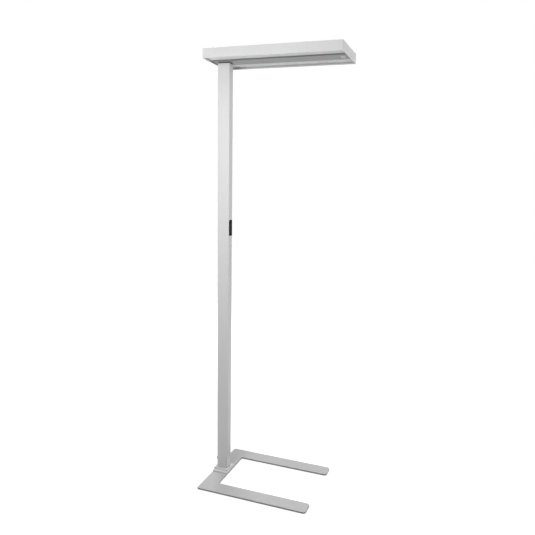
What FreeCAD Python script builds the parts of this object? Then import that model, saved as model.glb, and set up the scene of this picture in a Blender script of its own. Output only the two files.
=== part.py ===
import FreeCAD, Part
import math
import os
from FreeCAD import Vector

# Office floor lamp: a flat rectangular head on a slim column over a U-shaped base.
# Millimetres, +Z up.  The origin is on the floor under the column's axis.
# +X runs along the head and the base's prongs, Y across them.

# ---------------------------------------------------------------- overall sizes
LAMP_HEIGHT = 1950.0
HEAD_LENGTH = 600.0
HEAD_WIDTH = 220.0
HEAD_HEIGHT = 40.0
HEAD_OVERHANG = 50.0          # from the column's axis back to the head's near end

# ---------------------------------------------------------------- clearances
THREAD_GAP = 0.1              # round a screw's shank, all round
SLIP_GAP = 0.3                # round a piece that drops into its seat
BUTTON_GAP = 0.25             # round a push button in its opening

# ---------------------------------------------------------------- base plate and pads
BASE_LENGTH = 530.0
BASE_WIDTH = 400.0
WEB_WIDTH = 75.0
PRONG_WIDTH = 70.0
PLATE_THICKNESS = 8.0
WEB_CORNER_RADIUS = 6.0
PRONG_CORNER_RADIUS = 14.0
INSIDE_CORNER_RADIUS = 3.0
PLATE_EDGE_BREAK = 0.8
PAD_LENGTH = 36.0
PAD_WIDTH = 12.0
PAD_THICKNESS = 1.5
PAD_END_MARGIN = 26.0         # from a prong's end to the pad's centre

# ---------------------------------------------------------------- stepped foot
FOOT_LENGTH = 90.0            # lower step, along Y
FOOT_STEP_HEIGHT = 6.5
PLINTH_LENGTH = 62.0          # upper step, along Y
PLINTH_HEIGHT = 7.5
FOOT_SIDE_GAP = 0.5           # the foot stands this far inside the web's edges
FOOT_EDGE_BREAK = 0.7

# ---------------------------------------------------------------- column
COLUMN_LENGTH_X = 56.0
COLUMN_WIDTH_Y = 36.0
COLUMN_WALL = 2.0
COLUMN_EDGE_RADIUS = 3.0
PORT_WALL = 1.6               # wall of the extruded screw port round its bore
COLUMN_SCREW_DIAMETER = 6.0
COLUMN_SCREW_BITE = 18.0      # thread taken by the column's ports at either end

# ---------------------------------------------------------------- cable inlet, left side of the column
INLET_HEIGHT = 60.0
INLET_SHANK_DIAMETER = 10.0
INLET_FLANGE_FLATS = 17.0
INLET_FLANGE_THICKNESS = 3.0
INLET_CAP_LENGTH = 8.0
INLET_CAP_FLATS = 13.0
INLET_NUT_FLATS = 15.0
INLET_NUT_THICKNESS = 3.0
INLET_SHANK_SPARE = 1.5       # thread showing past the nut
SEAL_RECESS = 1.5

# ---------------------------------------------------------------- flat leads inside the lamp
SUPPLY_LEAD_WIDTH = 5.2
SUPPLY_LEAD_THICKNESS = 3.0
SIGNAL_LEAD_WIDTH = 5.0       # to the controls and to the sensor
SIGNAL_LEAD_THICKNESS = 1.5
BOARD_LEAD_WIDTH = 2.4
BOARD_LEAD_THICKNESS = 1.6
SUPPLY_BEND_RADIUS = 15.0
HEAD_BEND_RADIUS = 6.0
BOARD_BEND_RADIUS = 5.0
LEAD_SPACING = 1.2            # air between the two leads in the neck
LEAD_SHIFT_LENGTH = 90.0      # height over which the control lead moves to the column's middle

# ---------------------------------------------------------------- control module, right side of the column
CONTROL_CENTRE_HEIGHT = 1204.5
CONTROL_HEIGHT = 71.0
CONTROL_WIDTH = 29.0
BEZEL_PROUD = 1.2
BEZEL_CORNER_RADIUS = 2.0
BEZEL_LAP = 2.0               # how far the bezel covers the edge of the column's opening
HOUSING_WALL = 1.4
HOUSING_FRONT_DEPTH = 1.0     # part of the front wall that sits inside the opening
HOOK_WIDTH = 8.0
HOOK_CATCH = 0.8
HOOK_THICKNESS = 2.4
BUTTON_HEIGHT = 21.5
BUTTON_WIDTH = 19.5
BUTTON_BAR = 8.0              # bridge between the two openings
BUTTON_PROUD = 0.6
BUTTON_CROWN_RADIUS = 0.5
BUTTON_FLANGE_THICKNESS = 1.2
BUTTON_FLANGE_LAP = 0.7
BUTTON_TRAVEL = 0.8
PLUNGER_SIZE = 3.5
PLUNGER_ENTRY = 0.6           # at rest, inside the switch
SWITCH_SIZE = 6.2
SWITCH_HEIGHT = 3.4
SWITCH_STROKE_SPARE = 0.3
BOARD_THICKNESS = 1.6
BOARD_SETBACK = 8.5           # from the front wall's back to the control board's front
BOARD_RIB_WIDTH = 8.0
BOARD_RIB_REACH = 2.0         # ledge at each end of the box that the board's front bears on
BOARD_CATCH = 0.7             # overlap of the catches behind the board's back
BOARD_CATCH_LENGTH = 2.4
CONNECTOR_WALL = 0.8          # round the control lead's end
CONNECTOR_WIDTH = 10.0
CONNECTOR_LENGTH = 8.0
STATUS_WINDOW_WIDTH = 6.0
STATUS_WINDOW_HEIGHT = 2.0
STATUS_COLLAR_LAP = 0.7
STATUS_COLLAR_THICKNESS = 1.0
STATUS_TAIL_GAP = 0.6

# ---------------------------------------------------------------- neck
COLLAR_HEIGHT = 3.5
COLLAR_SETBACK = 1.0
NECK_PLATE_THICKNESS = 6.0
NECK_PLATE_MARGIN = 2.0       # the plate is this much wider than the column, all round
CABLE_SLOT_LENGTH = 16.0      # along X
CABLE_SLOT_WIDTH = 10.0

# ---------------------------------------------------------------- head frame, one lipped rail profile
RAIL_WALL = 2.0
RAIL_EDGE_BREAK = 0.5
OPTIC_RECESS = 8.0            # from the head's lower edge up to the diffusers
LOWER_LIP_REACH = 4.0
LIP_THICKNESS = 1.5
LEDGE_HEIGHT = 20.0           # underside of the tray's ledge above the head's lower edge
LEDGE_REACH = 8.0
LEDGE_THICKNESS = 2.0
UPPER_LIP_REACH = 7.0
KEY_ARM = 26.0
KEY_THICKNESS = 3.0
KEY_HEIGHT = 10.0

# ---------------------------------------------------------------- spine, strip and tray
STRIP_RECESS = 3.0            # from the head's lower edge up to the centre strip
STRIP_WIDTH = 73.0
STRIP_THICKNESS = 1.5
STRIP_LIP_REACH = 3.5
NIB_REACH = 0.8               # the strip's nibs snap into grooves in the spine
NIB_HEIGHT = 1.0
SPINE_FLOOR = 3.0
SPINE_WALL = 2.0
SPINE_FLANGE = 10.0
SPINE_END_GAP = 0.5
TRAY_THICKNESS = 1.5
TRAY_BRIDGE = 12.0            # metal left at each end of the tray's slot
TRAY_SCREW_DIAMETER = 4.0
TRAY_SCREW_SPARE = 1.0
TRAY_SCREW_END_MARGIN = 60.0
TRAY_SCREWS_A_SIDE = 2

# ---------------------------------------------------------------- optics
DIFFUSER_THICKNESS = 2.5
REFLECTOR_WALL = 0.8
REFLECTOR_SLOT = 8.0
REFLECTOR_CROWN = 24.0        # width of the reflector's flat top
REFLECTOR_END_MARGIN = 14.0
LED_BOARD_WIDTH = 20.0
LED_BOARD_THICKNESS = 1.6
LED_BOARD_END_MARGIN = 30.0
LED_SIZE = 3.5
LED_HEIGHT = 0.7
LEDS_A_BOARD = 12
BOARD_LINK_LENGTH = 8.0
BOARD_LINK_WIDTH = 5.0
BOARD_LINK_OFFSET = 14.0      # from the board's end to the link's centre
BOARD_LINK_RISE = 4.5

# ---------------------------------------------------------------- top cover and uplight windows
COVER_THICKNESS = 2.0
CLIP_THICKNESS = 0.8          # spring clips that hold the cover to the upper lips
CLIP_WIDTH = 12.0
CLIP_FLANGE = 8.0             # inwards, under the cover
CLIP_FOOT = 3.0               # outwards, under the lip
CLIP_END_MARGIN = 35.0        # from a head corner to the clip's middle
WINDOW_THICKNESS = 2.0
WINDOW_LAP = 6.0              # how far a window pane lies under the cover
WINDOW_END_MARGIN = 60.0
WINDOW_CORNER_RADIUS = 4.0

# ---------------------------------------------------------------- electrics in the spine
TERMINAL_START = 48.0         # along X from the column's axis
TERMINAL_LENGTH = 30.0
TERMINAL_WIDTH = 30.0
TERMINAL_HEIGHT = 25.0
DRIVER_GAP = 14.0             # from the terminal block to the driver
DRIVER_LENGTH = 280.0
DRIVER_WIDTH = 42.0
DRIVER_HEIGHT = 27.0
DRIVER_EAR_LENGTH = 10.0
DRIVER_EAR_THICKNESS = 2.0
DRIVER_SCREW_DIAMETER = 4.0
DRIVER_LEAD_PITCH = 7.0
SENSOR_END_MARGIN = 27.0      # from the head's far end to the sensor's axis
SENSOR_LENS_DIAMETER = 20.0
SENSOR_LENS_FLAT = 13.0       # flat middle of the bevelled lens
SENSOR_LENS_DROP = 1.8        # below the strip
SENSOR_FLANGE_LAP = 2.0
SENSOR_BOX_SIZE = 30.0
SENSOR_BOX_HEIGHT = 12.0

# ---------------------------------------------------------------- fastener proportions, times the thread
HEX_HEAD_FLATS_RATIO = 1.6
HEX_HEAD_HEIGHT_RATIO = 0.65
SUNK_HEAD_RADIUS_RATIO = 1.0
HEX_SOCKET_RATIO = 0.6
HEX_SOCKET_DEPTH_RATIO = 0.4

# ---------------------------------------------------------------- worked-out places, base and column
plate_bottom = PAD_THICKNESS
plate_top = plate_bottom + PLATE_THICKNESS
step_top = plate_top + FOOT_STEP_HEIGHT
column_bottom = step_top + PLINTH_HEIGHT
web_half = WEB_WIDTH / 2
base_half = BASE_WIDTH / 2
base_front = BASE_LENGTH - web_half
prong_centre = base_half - PRONG_WIDTH / 2
foot_half = web_half - FOOT_SIDE_GAP
column_half_x = COLUMN_LENGTH_X / 2
column_half_y = COLUMN_WIDTH_Y / 2
port_bore_radius = COLUMN_SCREW_DIAMETER / 2 + THREAD_GAP
port_y = column_half_y - COLUMN_WALL - port_bore_radius

# ---------------------------------------------------------------- worked-out places, head
head_bottom = LAMP_HEIGHT - HEAD_HEIGHT
head_back = -HEAD_OVERHANG
head_front = HEAD_LENGTH - HEAD_OVERHANG
head_half = HEAD_WIDTH / 2
strip_bottom = head_bottom + STRIP_RECESS
strip_top = strip_bottom + STRIP_THICKNESS
column_top = strip_bottom - COLLAR_HEIGHT
spine_floor_top = strip_top + SPINE_FLOOR
diffuser_bottom = head_bottom + OPTIC_RECESS
diffuser_top = diffuser_bottom + DIFFUSER_THICKNESS
ledge_bottom = head_bottom + LEDGE_HEIGHT
ledge_top = ledge_bottom + LEDGE_THICKNESS
tray_top = ledge_top + TRAY_THICKNESS
cover_bottom = LAMP_HEIGHT - COVER_THICKNESS
strip_half = STRIP_WIDTH / 2
spine_half = strip_half - STRIP_THICKNESS - SLIP_GAP
trough_half = spine_half - SPINE_WALL
rail_inside = RAIL_WALL + SLIP_GAP
bay_inner = strip_half + SLIP_GAP
bay_outer = head_half - rail_inside
bay_centre = (bay_inner + bay_outer) / 2
strip_back = head_back + RAIL_WALL + LOWER_LIP_REACH + SLIP_GAP
strip_front = head_front - RAIL_WALL - LOWER_LIP_REACH - SLIP_GAP
spine_back = head_back + RAIL_WALL + LEDGE_REACH + SPINE_END_GAP
spine_front = head_front - RAIL_WALL - LEDGE_REACH - SPINE_END_GAP
sensor_x = head_front - SENSOR_END_MARGIN
terminal_end = TERMINAL_START + TERMINAL_LENGTH
driver_start = terminal_end + DRIVER_GAP
driver_end = driver_start + DRIVER_LENGTH
nib_bottom = diffuser_bottom - NIB_HEIGHT
nib_tip = strip_half - STRIP_THICKNESS - NIB_REACH
neck_plate_top = spine_floor_top + NECK_PLATE_THICKNESS

# ---------------------------------------------------------------- worked-out places, leads in the neck
neck_lead_pitch = (SUPPLY_LEAD_THICKNESS + SIGNAL_LEAD_THICKNESS) / 2 + LEAD_SPACING
supply_neck_x = -neck_lead_pitch / 2
control_neck_x = neck_lead_pitch / 2
control_head_z = neck_plate_top + HEAD_BEND_RADIUS + LEAD_SPACING
supply_head_z = control_head_z + neck_lead_pitch

# ---------------------------------------------------------------- worked-out places, control module
face_x = column_half_x
bezel_front = face_x + BEZEL_PROUD
front_wall_back = face_x - HOUSING_FRONT_DEPTH
opening_half_y = CONTROL_WIDTH / 2 - BEZEL_LAP
opening_half_z = CONTROL_HEIGHT / 2 - BEZEL_LAP
housing_half_y = opening_half_y - SLIP_GAP
housing_half_z = opening_half_z - SLIP_GAP
board_front = front_wall_back - BOARD_SETBACK
board_back = board_front - BOARD_THICKNESS
housing_back = board_back - BOARD_CATCH_LENGTH
flange_front = front_wall_back - BUTTON_GAP
flange_back = flange_front - BUTTON_FLANGE_THICKNESS
button_offset = (BUTTON_HEIGHT + 2 * BUTTON_GAP + BUTTON_BAR) / 2
housing_inner_y = housing_half_y - HOUSING_WALL
housing_inner_z = housing_half_z - HOUSING_WALL
control_lead_x = housing_back - SLIP_GAP - SIGNAL_LEAD_THICKNESS / 2
connector_back = control_lead_x - SIGNAL_LEAD_THICKNESS / 2 - CONNECTOR_WALL

BOTH_SIDES = (-1, 1)
UP = Vector(0, 0, 1)
DOWN = Vector(0, 0, -1)
TO_RIGHT = Vector(1, 0, 0)
TO_REAR = Vector(0, 1, 0)


# ---------------------------------------------------------------- shape helpers
def block(x0, x1, y0, y1, z0, z1):
    return Part.makeBox(x1 - x0, y1 - y0, z1 - z0, Vector(x0, y0, z0))


def disc(radius, height, at, direction=UP):
    return Part.makeCylinder(radius, height, at, direction)


def hexagon(flats, height, at, direction=UP):
    """Hexagonal prism; its flats face the first cross axis."""
    corner = flats / 2 / math.cos(math.radians(30))
    points = []
    for step in range(7):
        turn = math.radians(60 * step + 30)
        points.append(Vector(corner * math.cos(turn), corner * math.sin(turn), 0))
    prism = Part.Face(Part.makePolygon(points)).extrude(Vector(0, 0, height))
    prism.Placement = FreeCAD.Placement(at, FreeCAD.Rotation(UP, direction))
    return prism


def fuse(shapes):
    whole = shapes[0].fuse(shapes[1:]) if len(shapes) > 1 else shapes[0]
    return whole.removeSplitter()


def group(shapes):
    return Part.makeCompound(shapes)


def edges_along(solid, direction, places=None):
    """Straight edges that run along a direction, or those of them at the given places."""
    found = []
    for edge in solid.Edges:
        ends = [vertex.Point for vertex in edge.Vertexes]
        if len(ends) < 2:
            continue
        run = ends[1] - ends[0]
        if run.Length < 1e-6 or abs(abs(run.normalize().dot(direction)) - 1) > 1e-6:
            continue
        middle = edge.CenterOfMass
        flat = middle - direction * middle.dot(direction)
        if places is None or any((flat - place).Length < 1e-3 for place in places):
            found.append(edge)
    return found


def edges_at_height(solid, height):
    """Edges that lie wholly in one level plane."""
    found = []
    for edge in solid.Edges:
        box = edge.BoundBox
        if abs(box.ZMin - height) < 1e-4 and abs(box.ZMax - height) < 1e-4:
            found.append(edge)
    return found


def rounded_block(x0, x1, y0, y1, z0, z1, radius, direction=UP):
    solid = block(x0, x1, y0, y1, z0, z1)
    return solid.makeFillet(radius, edges_along(solid, direction))


def run_along_x(points, x0, x1):
    """Closed outline of (y, z) points drawn out along X."""
    corners = [Vector(x0, y, z) for y, z in points]
    outline = Part.makePolygon(corners + corners[:1])
    return Part.Face(outline).extrude(Vector(x1 - x0, 0, 0))


def lead(points, radii, width, thickness, across):
    """Flat lead through points in one plane, with an arc at each inner point and its width along "across"."""
    edges = []
    start = points[0]
    for index, radius in enumerate(radii, 1):
        corner = points[index]
        back = (points[index - 1] - corner).normalize()
        ahead = (points[index + 1] - corner).normalize()
        half_angle = back.getAngle(ahead) / 2
        reach = radius / math.tan(half_angle)
        centre = corner + (back + ahead).normalize() * (radius / math.sin(half_angle))
        middle = centre + (corner - centre).normalize() * radius
        edges.append(Part.LineSegment(start, corner + back * reach).toShape())
        edges.append(Part.Arc(corner + back * reach, middle, corner + ahead * reach).toShape())
        start = corner + ahead * reach
    edges.append(Part.LineSegment(start, points[-1]).toShape())
    side = (points[1] - points[0]).normalize().cross(across) * (thickness / 2)
    edge = across * (width / 2)
    corners = [points[0] + offset for offset in (side + edge, edge - side, -side - edge, side - edge)]
    section = Part.makePolygon(corners + corners[:1])
    return Part.Wire(edges).makePipeShell([section], True, False)


# ---------------------------------------------------------------- fasteners
def placed(shape, at, direction):
    shape.Placement = FreeCAD.Placement(at, FreeCAD.Rotation(UP, direction))
    return shape


def hex_bolt(thread, length, at, direction):
    """Hexagon-head bolt; its head bears at the given point and its shank runs along the direction."""
    height = HEX_HEAD_HEIGHT_RATIO * thread
    head = hexagon(HEX_HEAD_FLATS_RATIO * thread, height, Vector(0, 0, -height))
    shank = disc(thread / 2, length, Vector(0, 0, 0))
    return placed(fuse([head, shank]), at, direction)


def sunk_cone(thread, gap):
    """Cone of a countersunk head, widened by a gap, with its wide end at z = 0."""
    wide = SUNK_HEAD_RADIUS_RATIO * thread
    depth = wide - thread / 2
    return Part.makeCone(wide + gap, thread / 2 + gap, depth, Vector(0, 0, 0), UP)


def sunk_screw(thread, length, at, direction):
    """Countersunk screw; the point is the middle of its flush face."""
    depth = SUNK_HEAD_RADIUS_RATIO * thread - thread / 2
    shank = disc(thread / 2, length - depth, Vector(0, 0, depth))
    socket = hexagon(HEX_SOCKET_RATIO * thread, HEX_SOCKET_DEPTH_RATIO * thread, Vector(0, 0, 0))
    return placed(fuse([sunk_cone(thread, 0), shank]).cut(socket), at, direction)


def sunk_hole(thread, length, at, direction):
    """Cutter for a countersunk screw: cone and clearance hole."""
    hole = disc(thread / 2 + THREAD_GAP, length, Vector(0, 0, 0))
    return placed(fuse([sunk_cone(thread, THREAD_GAP), hole]), at, direction)


def screw_hole(thread, z0, z1, x, y):
    """Upright clearance hole between two heights."""
    return disc(thread / 2 + THREAD_GAP, z1 - z0, Vector(x, y, z0))


# ---------------------------------------------------------------- base
def pad_places():
    middle = (base_front - PAD_END_MARGIN) / 2
    places = [Vector(0, 0, 0)]
    for side in BOTH_SIDES:
        for x in (0, middle, base_front - PAD_END_MARGIN):
            places.append(Vector(x, side * prong_centre, 0))
    return places


def port_places():
    """Axes of the column's two screw ports, which the screws at both ends share."""
    return [(0, side * port_y) for side in BOTH_SIDES]


def base_plate():
    """Laser-cut U: a web under the column and two prongs along +X."""
    whole = block(-web_half, base_front, -base_half, base_half, plate_bottom, plate_top)
    gap_half = base_half - PRONG_WIDTH
    gap = block(web_half, base_front, -gap_half, gap_half, plate_bottom, plate_top)
    plate = whole.cut(gap)
    web_corners = [Vector(-web_half, side * base_half, 0) for side in BOTH_SIDES]
    plate = plate.makeFillet(WEB_CORNER_RADIUS, edges_along(plate, UP, web_corners))
    prong_corners = [Vector(base_front, side * y, 0) for side in BOTH_SIDES for y in (base_half, gap_half)]
    plate = plate.makeFillet(PRONG_CORNER_RADIUS, edges_along(plate, UP, prong_corners))
    inside_corners = [Vector(web_half, side * gap_half, 0) for side in BOTH_SIDES]
    plate = plate.makeFillet(INSIDE_CORNER_RADIUS, edges_along(plate, UP, inside_corners))
    plate = plate.makeChamfer(PLATE_EDGE_BREAK, edges_at_height(plate, plate_top))
    for x, y in port_places():
        plate = plate.cut(sunk_hole(COLUMN_SCREW_DIAMETER, PLATE_THICKNESS, Vector(x, y, plate_bottom), UP))
    return plate


def foot_pads():
    """Flat rubber pads stuck under the plate."""
    corner = Vector(PAD_LENGTH / 2, PAD_WIDTH / 2, 0)
    return group([Part.makeBox(PAD_LENGTH, PAD_WIDTH, PAD_THICKNESS, place - corner)
                  for place in pad_places()])


def base_screws():
    """Long countersunk screws from below, through the plate and the foot into the column."""
    length = column_bottom - plate_bottom + COLUMN_SCREW_BITE
    return group([sunk_screw(COLUMN_SCREW_DIAMETER, length, Vector(x, y, plate_bottom), UP)
                  for x, y in port_places()])


def foot_bracket():
    """Two-step foot between the plate and the column."""
    lower_half = FOOT_LENGTH / 2
    upper_half = PLINTH_LENGTH / 2
    lower = block(-foot_half, foot_half, -lower_half, lower_half, plate_top, step_top)
    upper = block(-foot_half, foot_half, -upper_half, upper_half, step_top, column_bottom)
    lower = lower.makeChamfer(FOOT_EDGE_BREAK, edges_at_height(lower, step_top))
    upper = upper.makeChamfer(FOOT_EDGE_BREAK, edges_at_height(upper, column_bottom))
    foot = fuse([lower, block(-foot_half, foot_half, -upper_half, upper_half, plate_top, step_top), upper])
    for x, y in port_places():
        foot = foot.cut(screw_hole(COLUMN_SCREW_DIAMETER, plate_top, column_bottom, x, y))
    return foot


# ---------------------------------------------------------------- column
def column():
    """Extruded tube with a screw port in each long wall, opened for the controls and the inlet."""
    outside = rounded_block(-column_half_x, column_half_x, -column_half_y, column_half_y,
                            column_bottom, column_top, COLUMN_EDGE_RADIUS)
    inner_x = column_half_x - COLUMN_WALL
    inner_y = column_half_y - COLUMN_WALL
    tube = outside.cut(block(-inner_x, inner_x, -inner_y, inner_y, column_bottom, column_top))
    length = column_top - column_bottom
    port_half = port_bore_radius + PORT_WALL
    for x, y in port_places():
        port = block(x - port_half, x + port_half, y - port_half, y + port_half, column_bottom, column_top)
        tube = tube.fuse(port.common(outside))
    for x, y in port_places():
        tube = tube.cut(disc(port_bore_radius, length, Vector(x, y, column_bottom)))
    tube = tube.removeSplitter()
    bottom = CONTROL_CENTRE_HEIGHT - opening_half_z
    top = CONTROL_CENTRE_HEIGHT + opening_half_z
    opening = block(housing_back - SLIP_GAP, face_x, -opening_half_y, opening_half_y, bottom, top)
    inlet_hole = disc(INLET_SHANK_DIAMETER / 2 + THREAD_GAP, COLUMN_WALL,
                      Vector(-column_half_x, 0, INLET_HEIGHT), TO_RIGHT)
    return tube.cut(opening).cut(inlet_hole)


# ---------------------------------------------------------------- cable inlet
inlet_inner_end = -column_half_x + COLUMN_WALL + INLET_NUT_THICKNESS + INLET_SHANK_SPARE
inlet_outer_end = -column_half_x - INLET_FLANGE_THICKNESS - INLET_CAP_LENGTH
seal_radius = math.hypot(SUPPLY_LEAD_WIDTH, SUPPLY_LEAD_THICKNESS) / 2
inlet_bore_radius = seal_radius + THREAD_GAP
seal_inner_end = -column_half_x


def cable_inlet():
    """Gland through the column's left wall: hexagonal flange and cap, and threaded shank."""
    flange_start = Vector(-column_half_x - INLET_FLANGE_THICKNESS, 0, INLET_HEIGHT)
    flange = hexagon(INLET_FLANGE_FLATS, INLET_FLANGE_THICKNESS, flange_start, TO_RIGHT)
    cap_start = Vector(inlet_outer_end, 0, INLET_HEIGHT)
    cap = hexagon(INLET_CAP_FLATS, INLET_CAP_LENGTH, cap_start, TO_RIGHT)
    shank = disc(INLET_SHANK_DIAMETER / 2, inlet_inner_end + column_half_x,
                 Vector(-column_half_x, 0, INLET_HEIGHT), TO_RIGHT)
    bore = disc(inlet_bore_radius, inlet_inner_end - inlet_outer_end, cap_start, TO_RIGHT)
    return fuse([cap, flange, shank]).cut(bore)


def inlet_seal():
    """Rubber seal that closes the gland's bore where the mains cord would enter."""
    start = inlet_outer_end + SEAL_RECESS
    return disc(seal_radius, seal_inner_end - start, Vector(start, 0, INLET_HEIGHT), TO_RIGHT)


def inlet_nut():
    start = Vector(-column_half_x + COLUMN_WALL, 0, INLET_HEIGHT)
    nut = hexagon(INLET_NUT_FLATS, INLET_NUT_THICKNESS, start, TO_RIGHT)
    return nut.cut(disc(INLET_SHANK_DIAMETER / 2 + THREAD_GAP, INLET_NUT_THICKNESS, start, TO_RIGHT))


# ---------------------------------------------------------------- leads in the column
def supply_lead():
    """Flat mains lead from the inlet's seal up the column to the terminal block."""
    points = [
        Vector(seal_inner_end, 0, INLET_HEIGHT),
        Vector(supply_neck_x, 0, INLET_HEIGHT),
        Vector(supply_neck_x, 0, supply_head_z),
        Vector(TERMINAL_START, 0, supply_head_z),
    ]
    radii = [SUPPLY_BEND_RADIUS, HEAD_BEND_RADIUS + neck_lead_pitch]
    return lead(points, radii, SUPPLY_LEAD_WIDTH, SUPPLY_LEAD_THICKNESS, TO_REAR)


def control_lead():
    """Ribbon from the control board's connector up the column to the terminal block."""
    bend = column_top - 2 * LEAD_SHIFT_LENGTH
    points = [
        Vector(control_lead_x, 0, CONTROL_CENTRE_HEIGHT + CONNECTOR_LENGTH / 2),
        Vector(control_lead_x, 0, bend),
        Vector(control_neck_x, 0, bend + LEAD_SHIFT_LENGTH),
        Vector(control_neck_x, 0, control_head_z),
        Vector(TERMINAL_START, 0, control_head_z),
    ]
    gentle = LEAD_SHIFT_LENGTH / 2
    radii = [gentle, gentle, HEAD_BEND_RADIUS]
    return lead(points, radii, SIGNAL_LEAD_WIDTH, SIGNAL_LEAD_THICKNESS, TO_REAR)


# ---------------------------------------------------------------- control module
def button_height(side):
    return CONTROL_CENTRE_HEIGHT + side * button_offset


def control_housing():
    """Moulded bezel and box that snaps into the column, with two button openings and seats for the board."""
    centre = CONTROL_CENTRE_HEIGHT
    bezel = rounded_block(face_x, bezel_front, -CONTROL_WIDTH / 2, CONTROL_WIDTH / 2,
                          centre - CONTROL_HEIGHT / 2, centre + CONTROL_HEIGHT / 2,
                          BEZEL_CORNER_RADIUS, TO_RIGHT)
    body = block(housing_back, face_x, -housing_half_y, housing_half_y,
                 centre - housing_half_z, centre + housing_half_z)
    hollow = block(housing_back, front_wall_back, -housing_inner_y, housing_inner_y,
                   centre - housing_inner_z, centre + housing_inner_z)
    shell = fuse([bezel, body]).cut(hollow)
    for side in BOTH_SIDES:
        shell = fuse([shell, snap_hook(side), board_rib(side), board_catch(side)])
        half_y = BUTTON_WIDTH / 2 + BUTTON_GAP
        bottom = button_height(side) - BUTTON_HEIGHT / 2 - BUTTON_GAP
        top = button_height(side) + BUTTON_HEIGHT / 2 + BUTTON_GAP
        shell = shell.cut(block(front_wall_back, bezel_front, -half_y, half_y, bottom, top))
    return shell.cut(status_block(front_wall_back, bezel_front, THREAD_GAP))


def board_rib(side):
    """Ledge on the box's end wall that the board's front bears on."""
    wall = CONTROL_CENTRE_HEIGHT + side * housing_inner_z
    edge = wall - side * BOARD_RIB_REACH
    return block(board_front, front_wall_back, -BOARD_RIB_WIDTH / 2, BOARD_RIB_WIDTH / 2,
                 min(wall, edge), max(wall, edge))


def board_catch(side):
    """Wedge on the box's end wall that catches behind the board's back."""
    wall = CONTROL_CENTRE_HEIGHT + side * housing_inner_z
    tip = wall - side * (SLIP_GAP + BOARD_CATCH)
    return wedge([(board_back, wall), (board_back, tip), (housing_back, wall)], BOARD_RIB_WIDTH)


def wedge(outline, width):
    """Prism of an (x, z) outline, centred on the column's middle plane."""
    points = [Vector(x, -width / 2, z) for x, z in outline]
    return Part.Face(Part.makePolygon(points + points[:1])).extrude(TO_REAR * width)


def snap_hook(side):
    """Wedge on the box's end wall that catches behind the column's wall."""
    wall = CONTROL_CENTRE_HEIGHT + side * housing_half_z
    tip = wall + side * (SLIP_GAP + HOOK_CATCH)
    front = face_x - COLUMN_WALL - THREAD_GAP
    return wedge([(front, wall), (front, tip), (front - HOOK_THICKNESS, wall)], HOOK_WIDTH)


def push_button(side):
    """Button cap with a flange that keeps it behind the bezel."""
    middle = button_height(side)
    cap = block(flange_back, bezel_front + BUTTON_PROUD, -BUTTON_WIDTH / 2, BUTTON_WIDTH / 2,
                middle - BUTTON_HEIGHT / 2, middle + BUTTON_HEIGHT / 2)
    front_edges = [edge for edge in cap.Edges
                   if abs(edge.BoundBox.XMin - bezel_front - BUTTON_PROUD) < 1e-4]
    cap = cap.makeFillet(BUTTON_CROWN_RADIUS, front_edges)
    flange_half_y = BUTTON_WIDTH / 2 + BUTTON_GAP + BUTTON_FLANGE_LAP
    flange_half_z = BUTTON_HEIGHT / 2 + BUTTON_GAP + BUTTON_FLANGE_LAP
    flange = block(flange_back, flange_front, -flange_half_y, flange_half_y,
                   middle - flange_half_z, middle + flange_half_z)
    return fuse([cap, flange])


def square_rod(size, x0, x1, z):
    """Square rod along X on the column's middle plane."""
    half = size / 2
    return block(x0, x1, -half, half, z - half, z + half)


def plunger(side):
    """Switch plunger behind a button; it stands in the switch and moves with the button."""
    end = board_front + SWITCH_HEIGHT - PLUNGER_ENTRY
    return square_rod(PLUNGER_SIZE, end, flange_back, button_height(side))


def switch_bodies():
    """Two tactile switches on the board, each with a well for its plunger."""
    bodies = []
    top = board_front + SWITCH_HEIGHT
    depth = PLUNGER_ENTRY + BUTTON_TRAVEL + SWITCH_STROKE_SPARE
    for side in BOTH_SIDES:
        body = square_rod(SWITCH_SIZE, board_front, top, button_height(side))
        well = square_rod(PLUNGER_SIZE + 2 * THREAD_GAP, top - depth, top, button_height(side))
        bodies.append(body.cut(well))
    return group(bodies)


def control_board():
    """Circuit board with its connector on the back."""
    half_y = housing_inner_y - SLIP_GAP
    half_z = housing_inner_z - SLIP_GAP
    centre = CONTROL_CENTRE_HEIGHT
    board = block(board_back, board_front, -half_y, half_y, centre - half_z, centre + half_z)
    connector = block(connector_back, board_back, -CONNECTOR_WIDTH / 2, CONNECTOR_WIDTH / 2,
                      centre - CONNECTOR_LENGTH / 2, centre + CONNECTOR_LENGTH / 2)
    return fuse([board, connector])


def status_block(x0, x1, gap):
    """Bar of the status window's section, widened all round by a gap."""
    half_y = STATUS_WINDOW_WIDTH / 2 + gap
    half_z = STATUS_WINDOW_HEIGHT / 2 + gap
    return block(x0, x1, -half_y, half_y, CONTROL_CENTRE_HEIGHT - half_z, CONTROL_CENTRE_HEIGHT + half_z)


def status_window():
    """Light pipe from the board's status lamp to the bezel's face, with a collar behind the front wall."""
    rod = status_block(board_front + STATUS_TAIL_GAP, bezel_front, 0)
    collar = status_block(front_wall_back - STATUS_COLLAR_THICKNESS, front_wall_back, STATUS_COLLAR_LAP)
    return fuse([rod, collar])


# ---------------------------------------------------------------- neck
def neck_collar():
    """Dark shadow-gap collar that stands on the column, passes the strip and bears on the spine."""
    half_x = column_half_x - COLLAR_SETBACK
    half_y = column_half_y - COLLAR_SETBACK
    radius = COLUMN_EDGE_RADIUS - COLLAR_SETBACK / 2
    collar = rounded_block(-half_x, half_x, -half_y, half_y, column_top, strip_top, radius)
    return cut_neck_holes(collar, column_top, strip_top)


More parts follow.
